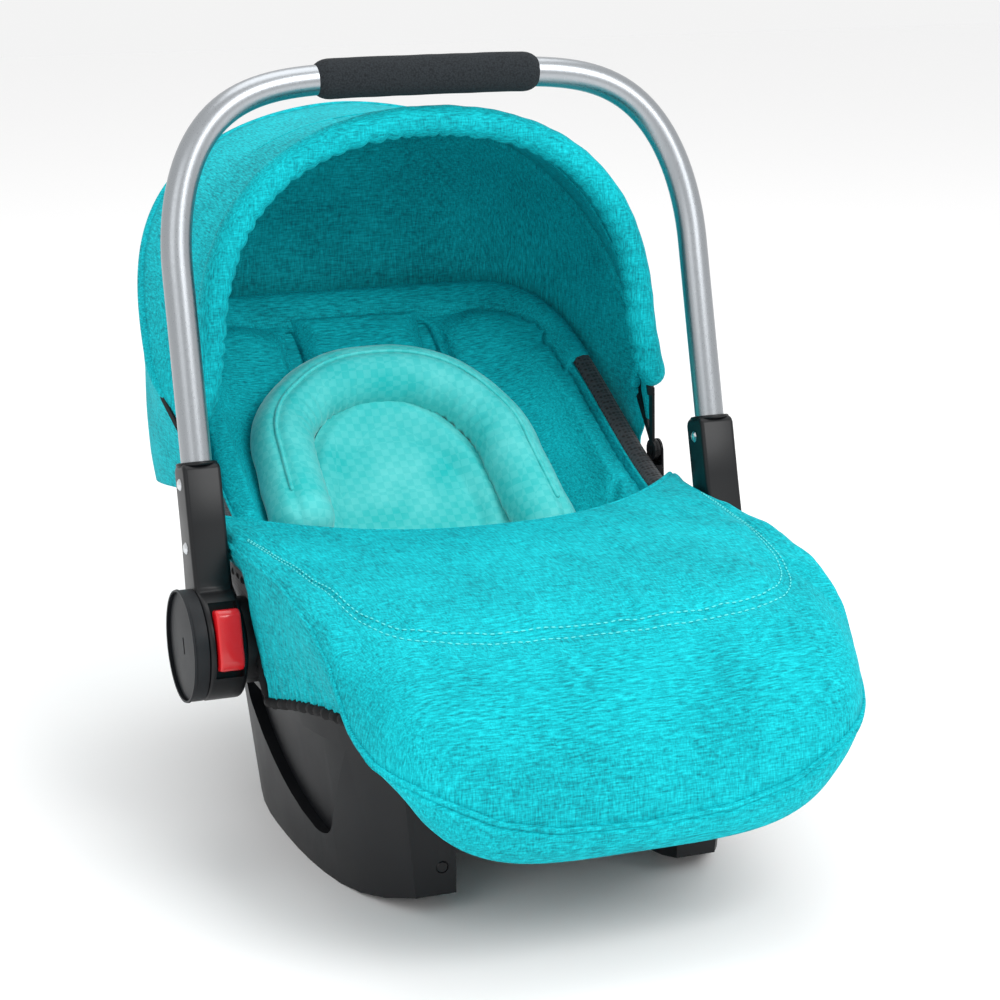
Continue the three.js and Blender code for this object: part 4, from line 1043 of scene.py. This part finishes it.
class CARSEAT_OT_border(CarSeatStep, bpy.types.Operator):
    """Air-mesh border over the sides of the rim, and the seat cover's edge round the head end"""
    bl_idname = "carseat.border"
    bl_label = "Rim border"

    def execute(self, context):
        for side, sign in (("right", 1), ("left", -1)):
            path = [(sign * shell_half(y, 0), y, Vector((sign, 0, 0))) for y in np.linspace(-57, 212, 60)]
            mesh = rim_strip(f"rim_mesh_{side}", path, side_section)
            dress(mesh, "mesh", "seat", ["rim_border"] if sign > 0 else ())
        head = []
        for i in range(140):
            a = mix(0.06, math.pi - 0.06, i / 139)
            c, q = math.cos(a), math.sin(a)
            x = math.copysign(SHELL_HALF * abs(c) ** (1 / 3), c)
            y = 60 + (SHELL_HEAD + 4 - 60) * q ** (1 / 3)
            out = Vector((math.copysign(abs(x / SHELL_HALF) ** 5, x), ((y - 60) / 229) ** 5, 0)).normalized()
            if y > 190:
                head.append((x, y, out))
        profile = [(-26, -24), (-20, -12), (-14, -2), (-10, 2.6), (-4, 3.8), (0.8, 3.0), (2.6, -1),
                   (3.0, -10), (2.0, -20)]
        edge = rim_strip("seat_cover_edge", head, lambda y: profile)
        dress(edge, "teal", "seat")
        return {"FINISHED"}


# ---- Newborn insert -------------------------------------------------------------------------

INSERT_UP = Vector((0, 0.669, -0.743))
INSERT_X, INSERT_HALF = -10.0, 92.0


def insert_line():
    line = []
    for i in range(-20, 141):
        f = min(max(i / 120, 0), 1)
        a = math.pi * f
        c = math.cos(a)
        beyond = max(-i, i - 120, 0) * 2.9
        x = INSERT_X + math.copysign((INSERT_HALF + 0.1 * beyond) * abs(c) ** 0.85, c)
        y = 124 + 70 * math.sin(a) - beyond
        line.append(Vector((x, y, max(seat_line(y) + 26, bucket_z(x * 1.22, y, 34) + 16))))
    return resample(line, 3)


class CARSEAT_OT_insert(CarSeatStep, bpy.types.Operator):
    """Newborn insert: horseshoe head roll with a piped seam, and the round back pad"""
    bl_idname = "carseat.insert"
    bl_label = "Newborn insert"

    def execute(self, context):
        line = insert_line()
        size = self.sizes.insert_radius / MM

        def puckers(f, a):
            inner = max(-math.cos(a), 0) ** 0.7
            corner = math.exp(-((f - 0.3) / 0.09) ** 2) + math.exp(-((f - 0.7) / 0.09) ** 2)
            phase = f * 38 + 0.9 * wrinkle((f * 500, 0, 0), 60)
            seam = math.exp(-((math.degrees(a) - 68) / 9) ** 2)
            return -inner * (0.8 + 1.9 * corner) * abs(math.sin(phase * math.pi)) ** 0.7 - 2.4 * seam \
                + 0.7 * wrinkle((f * 500, a * 24, 0), 26)
        roll = rope("insert_head_roll", line, INSERT_UP * -1, size, 56, puckers, caps=9)
        dress(roll, "mint", "head_insert", ["insert_roll"])
        pipe = rope("insert_piping", on_rope(line, INSERT_UP * -1, size - 1.2, math.radians(68), 0.02, 0.98),
                    INSERT_UP * -1, self.sizes.piping_radius / MM, 10)
        dress(pipe, "mint", "head_insert")

        def face(depth, dome):
            def point(u, v):
                dx, dy = square_to_disc(u, v)
                x, y = INSERT_X + 79 * dx, 98 + 90 * dy
                d = math.hypot(dx, dy)
                ring = math.exp(-((d - 0.84) / 0.11) ** 2) * 6 * dome
                dip = 1.5 * dome * math.exp(-((d - 0.68) / 0.04) ** 2)
                return Vector((x, y, bucket_z(x, y, depth) + (ring - dip + 2 * dome * (1 - d)) / 0.743))
            return point
        pad = closed_mesh("insert_back_pad", 72, 72, face(45, 1), face(37, 0))
        dress(pad, "mint", "head_insert", ["insert_pad"])
        return {"FINISHED"}


# ---- Foot cover -----------------------------------------------------------------------------

COVER_HALF, COVER_FOOT, COVER_TOP = 183.5, -320.0, 232.0
COVER_MIDDLE = -60.0
COVER_POWER = 6.6
STITCH_AT = 0.74  # share of the way from the edge to the crease


def cover_edge(u, inset=0.0):
    """(x, y) round the cover's plan from the right rear corner, over the foot end, to the left."""
    half, reach = COVER_HALF - inset, COVER_MIDDLE - COVER_FOOT + 3 - inset
    straight = 0.15
    if u < straight:
        return half, mix(30, COVER_MIDDLE, u / straight)
    if u > 1 - straight:
        return -half, mix(COVER_MIDDLE, 30, (u - 1 + straight) / straight)
    f = (u - straight) / (1 - 2 * straight)
    a = math.pi * (f + 0.12 * math.sin(4 * math.pi * f) / math.pi)
    c, s = math.cos(a), math.sin(a)
    power = 2 / COVER_POWER
    return math.copysign(half * abs(c) ** power, c), COVER_MIDDLE - reach * abs(s) ** power


def cover_line(inset=0.0, count=221):
    """Evenly spaced (x, y) round the cover's plan, with the distance of each from the front centre."""
    pts = [Vector((*cover_edge(i / 900, inset), 0)) for i in range(901)]
    even = resample(pts, 1.0)
    keep = [even[round(i * (len(even) - 1) / (count - 1))] for i in range(count)]
    length = len(even) - 1
    return [(p.x, p.y, abs(i / (count - 1) - 0.5) * length) for i, p in enumerate(keep)]


def cover_hem(u):
    """(x, y) of the edge towards the child, from right to left."""
    s = 1 - 2 * u
    x = 176 * math.copysign(abs(s) ** 0.9, s)
    return x, -60 + 92 * (abs(x) / 176) ** 2.3


def crease_z(along):
    """Height of the seam round the cover, by its distance from the front centre."""
    return table([(0, 106), (60, 109), (100, 119), (130, 134), (155, 146), (185, 156), (209, 170), (225, 188),
                  (240, 204), (274, 219), (335, 228), (400, 227), (470, 223), (520, 222)], along)


def cover_low(x, y, along):
    """Lower edge: round under the foot end, and over the side along the elastic."""
    front = 80 + 55 * (abs(x) / 165) ** 4
    side = table([(-300, 142), (-262, 162), (-238, 164), (-190, 155), (-132, 140), (-80, 124), (-62, 120),
                  (-50, 150), (-40, 184), (-30, 196), (60, 196)], y)
    return mix(front, side, smooth(150, 215, along))


class CARSEAT_OT_foot_cover(CarSeatStep, bpy.types.Operator):
    """Padded foot cover with its seams, topstitching and elastic edge"""
    bl_idname = "carseat.foot_cover"
    bl_label = "Foot cover"

    def execute(self, context):
        columns, top_rows, wall_rows = 361, 60, 24
        edge_line = cover_line(0.0, columns)

        def section(i):
            u = i / (columns - 1)
            hx, hy = cover_hem(u)
            ex, ey, along = edge_line[i]
            crease = crease_z(along)
            span = math.hypot(ex - hx, ey - hy)
            front = 1 - smooth(190, 250, along)
            points = []
            for j in range(top_rows + 1):
                t = j / top_rows
                v = 1 - (1 - t) ** 1.45
                x, y = mix(hx, ex, v), mix(hy, ey, v)
                z = crease + (COVER_TOP - crease) * math.sqrt(max(1 - v**4, 0))
                from_hem, from_seam, from_crease = v * span, abs(v - STITCH_AT) * span, (1 - v) * span
                puff_up = min(span / 110, 1) * (1 - math.exp(-from_seam / 8))
                puff_up *= (1 - math.exp(-from_hem / 10)) * (1 - math.exp(-from_crease / 6))
                crumple = 3.4 * wrinkle((x * 1.7, y * 0.8, 0), 30) + 1.6 * wrinkle((x * 1.5, y * 0.6, 9), 13)
                near_stitch = math.exp(-((v - STITCH_AT) * span / 26) ** 2)
                z += 5.0 * puff_up - 4.0 + crumple * (0.35 + 0.9 * near_stitch) * puff_up
                if from_hem < 13:
                    z += 1.6 * math.sin(from_hem / 13 * math.pi)
                points.append(Vector((x, y, z)))
            cx, cy, cz = points[-1]
            low = min(cover_low(ex, ey, along), cz - 4)
            before, after = edge_line[max(i - 1, 0)], edge_line[min(i + 1, columns - 1)]
            tangent = Vector((after[0] - before[0], after[1] - before[1], 0)).normalized()
            out = Vector((-tangent.y, tangent.x, 0)) * -1
            if out.dot(Vector((ex, ey + 60, 0))) < 0:
                out = -out
            for j in range(1, wall_rows + 1):
                v = j / wall_rows
                z = mix(cz, low, v)
                lip = 1.6 * math.exp(-((v - 0.2) / 0.12) ** 2) - 1.4 * math.exp(-(v / 0.05) ** 2)
                bulge = 1.8 * math.sin(v * math.pi) * front
                tuck = -7.0 * v**2.2 * front - 9.0 * smooth(0.35, 1, v) * (1 - front)
                fold = along + 9 * wrinkle((0, along, 0), 34)
                gather = (1 - front) * smooth(0.1, 0.9, v) * 3.4 * (abs(math.sin(fold / 5.2)) ** 0.8 - 0.6)
                points.append(Vector((cx, cy, z)) + out * (lip + bulge + tuck + gather - 0.6))
            return points
        rows = [section(i) for i in range(columns)]
        points = [p for row in rows for p in row]
        obj = new_object("foot_cover_quilted", points, grid_faces(columns, len(rows[0])))
        modify(obj, "SOLIDIFY", thickness=3.4 * MM, offset=-1.0)
        outward(obj)
        dress(obj, "teal", "foot_cover", ["foot_cover"])
        up = Vector((0, 0, 1))
        at = [max(range(top_rows + 1), key=lambda j: -abs(1 - (1 - j / top_rows) ** 1.45 - f))
              for f in (STITCH_AT - 0.018, STITCH_AT + 0.018)]
        rise = up * 0.5
        inner = [row[at[0]] + rise for row in rows[24:-24]]
        outer = [row[at[1]] + rise for row in rows[24:-24]]
        thread = join([stitches("a", inner), stitches("b", outer)], "foot_cover_topstitch")
        dress(thread, "thread", "foot_cover")
        low = [row[-1] for row in rows]
        piping = rope("foot_cover_piping", resample([row[top_rows] for row in rows], 4), up, 2.1, 10)
        dress(piping, "teal", "foot_cover")
        for side, part in (("right", low[:98]), ("left", low[-98:])):
            edge = rope(f"foot_cover_elastic_{side}", resample(part, 3), up, 3.4, 12,
                        lambda f, a: 0.6 * math.sin(f * 400))
            dress(edge, "binding", "foot_cover")
        fold = rope("foot_cover_hem", resample([row[0] for row in rows], 4), up, 2.4, 12)
        dress(fold, "teal", "foot_cover")
        return {"FINISHED"}


# ---- Harness --------------------------------------------------------------------------------


class CARSEAT_OT_harness(CarSeatStep, bpy.types.Operator):
    """Harness webbing"""
    bl_idname = "carseat.harness"
    bl_label = "Harness webbing"

    def execute(self, context):
        def cushion(y):
            return seat_line(y) - PAD_TOP + WALL + LINER + PAD
        def behind(y):
            return seat_line(y) - PAD_TOP - 8
        slot_z = seat_line(150)
        line = [(y, cushion(y) + 5) for y in range(-32, 136, 18)]
        line += [(140, cushion(140) + 6), (150, slot_z), (194, slot_z), (194.5, slot_z - 8)]
        line += [(y, behind(y)) for y in range(176, 144, -12)]
        for side, sign in (("right", 1), ("left", -1)):
            strap = band(f"shoulder_webbing_{side}", line, 31 * sign)
            dress(strap, "web", "seat", [f"harness_strap_{side}"])
        return {"FINISHED"}


# ---- Carried-over hard pieces ---------------------------------------------------------------

CARRIED = {
    "base_screw_1": "arm", "base_screw_2": "arm", "base_screw_3": "arm", "base_screw_4": "arm",
    "canopy_clip_left": "arm", "canopy_clip_right": "arm", "foam_liner": "liner", "splitter_plate": "steel",
    "adjuster_strap": "web", "crotch_strap": "web", "crotch_anchor": "steel", "buckle_housing": "arm",
    "buckle_tongue_left": "steel", "buckle_tongue_right": "steel", "adjuster_housing": "arm",
    "belt_hook": "arm", "arm_rivet_lower_left": "steel", "arm_rivet_lower_right": "steel",
    "arm_rivet_upper_left": "steel", "arm_rivet_upper_right": "steel", "button_spring_left": "steel",
    "button_spring_right": "steel", "canopy_rear_bow": "arm", "canopy_front_bow": "arm",
    "buckle_button": "red", "adjuster_lever": "base",
}


class CARSEAT_OT_carried(CarSeatStep, bpy.types.Operator):
    """Finishes on the hard pieces carried over from the frame"""
    bl_idname = "carseat.carried"
    bl_label = "Frame finishes"

    def execute(self, context):
        for name, finish in CARRIED.items():
            obj = bpy.data.objects[name]
            if not obj.material_slots:
                obj.data.materials.append(None)
            for slot in obj.material_slots:
                slot.material = finishes()[finish]
            modify(obj, "WELD", apply=False, merge_threshold=0.00005)
        return {"FINISHED"}


def moulding(name, source, bevel=1.4):
    """A moulded copy of a CAD node: its points merged, its edges rounded and its faces smooth."""
    mesh = bpy.data.objects[source].data
    obj = new_object(name, [v.co / MM for v in mesh.vertices], [tuple(p.vertices) for p in mesh.polygons])
    with editing(obj):
        bpy.ops.mesh.remove_doubles(threshold=0.02 * MM)
        bpy.ops.mesh.dissolve_limited(angle_limit=math.radians(1.0))
    modify(obj, "BEVEL", width=bevel * MM, segments=3, limit_method="ANGLE", angle_limit=math.radians(42))
    return crisp(obj, 42)


class CARSEAT_OT_base(CarSeatStep, bpy.types.Operator):
    """Rocker base, shell and pivot bosses with rounded edges"""
    bl_idname = "carseat.base"
    bl_label = "Base and shell"

    def execute(self, context):
        for name, source, finish in (("base_moulding", "rocker_base", "base"),
                                     ("shell_moulding", "seat_shell", "base"),
                                     ("pivot_boss_right", "hub_pivot_right", "arm"),
                                     ("pivot_boss_left", "hub_pivot_left", "arm")):
            dress(moulding(name, source), finish, "seat", [source])
        return {"FINISHED"}


# ---- Studio ---------------------------------------------------------------------------------


class CARSEAT_OT_studio(CarSeatStep, bpy.types.Operator):
    """Pale floor, soft lights and camera"""
    bl_idname = "carseat.studio"
    bl_label = "Studio"

    def execute(self, context):
        scene = context.scene
        bpy.ops.object.select_all(action="DESELECT")
        bpy.ops.mesh.primitive_plane_add(size=12.0, location=(0, 0, 0))
        floor = bpy.context.object
        floor.name = "floor"
        floor.data.materials.append(material("Painted floor, matt white", "#FDFDFD", 0.9)[0])
        world = bpy.data.worlds.new("studio")
        scene.world = world
        world.use_nodes = True
        world.node_tree.nodes["Background"].inputs["Color"].default_value = (1, 1, 1, 1)
        world.node_tree.nodes["Background"].inputs["Strength"].default_value = 0.9
        for name, place, size, power in (("key", (0.9, -2.0, 2.1), 1.5, 40),
                                         ("fill", (-2.0, -1.6, 1.6), 1.6, 8),
                                         ("top", (0.2, 0.6, 2.6), 1.8, 18)):
            data = bpy.data.lights.new(name, "AREA")
            data.size, data.energy = size, power
            lamp = bpy.data.objects.new(name, data)
            scene.collection.objects.link(lamp)
            lamp.location = place
            lamp.rotation_euler = (Vector((0, 0, 0.2)) - Vector(place)).to_track_quat("-Z", "Y").to_euler()
        data = bpy.data.cameras.new("camera")
        data.lens, data.sensor_width = 94.0, 36.0
        camera = bpy.data.objects.new("camera", data)
        scene.collection.objects.link(camera)
        camera.location = (-0.6460, -1.7283, 0.7271)
        aim = Vector((0.0163, -0.0200, 0.2362)) - camera.location
        camera.rotation_euler = aim.to_track_quat("-Z", "Y").to_euler()
        scene.camera = camera
        scene.view_settings.view_transform = "Standard"
        return {"FINISHED"}


class CARSEAT_PT_panel(bpy.types.Panel):
    """Lists the pieces of the car seat"""
    bl_idname = "CARSEAT_PT_panel"
    bl_label = "Car seat"
    bl_space_type = "VIEW_3D"
    bl_region_type = "UI"
    bl_category = "Car seat"

    def draw(self, context):
        for name in CarSeatSettings.__annotations__:
            self.layout.prop(context.scene.car_seat, name)
        for step in STEPS:
            self.layout.operator(step.bl_idname)


STEPS = (CARSEAT_OT_carried, CARSEAT_OT_base, CARSEAT_OT_tube, CARSEAT_OT_arms, CARSEAT_OT_discs,
         CARSEAT_OT_rivets, CARSEAT_OT_buttons, CARSEAT_OT_hood, CARSEAT_OT_pads, CARSEAT_OT_border,
         CARSEAT_OT_insert, CARSEAT_OT_foot_cover, CARSEAT_OT_harness, CARSEAT_OT_studio)


def register():
    for made in (CarSeatSettings, *STEPS, CARSEAT_PT_panel):
        bpy.utils.register_class(made)
    bpy.types.Scene.car_seat = bpy.props.PointerProperty(type=CarSeatSettings)


def unregister():
    del bpy.types.Scene.car_seat
    for made in (CARSEAT_PT_panel, *reversed(STEPS), CarSeatSettings):
        bpy.utils.unregister_class(made)


def main():
    register()
    for step in STEPS:
        group, name = step.bl_idname.split(".")
        getattr(getattr(bpy.ops, group), name)()


if __name__ == "__main__":
    main()
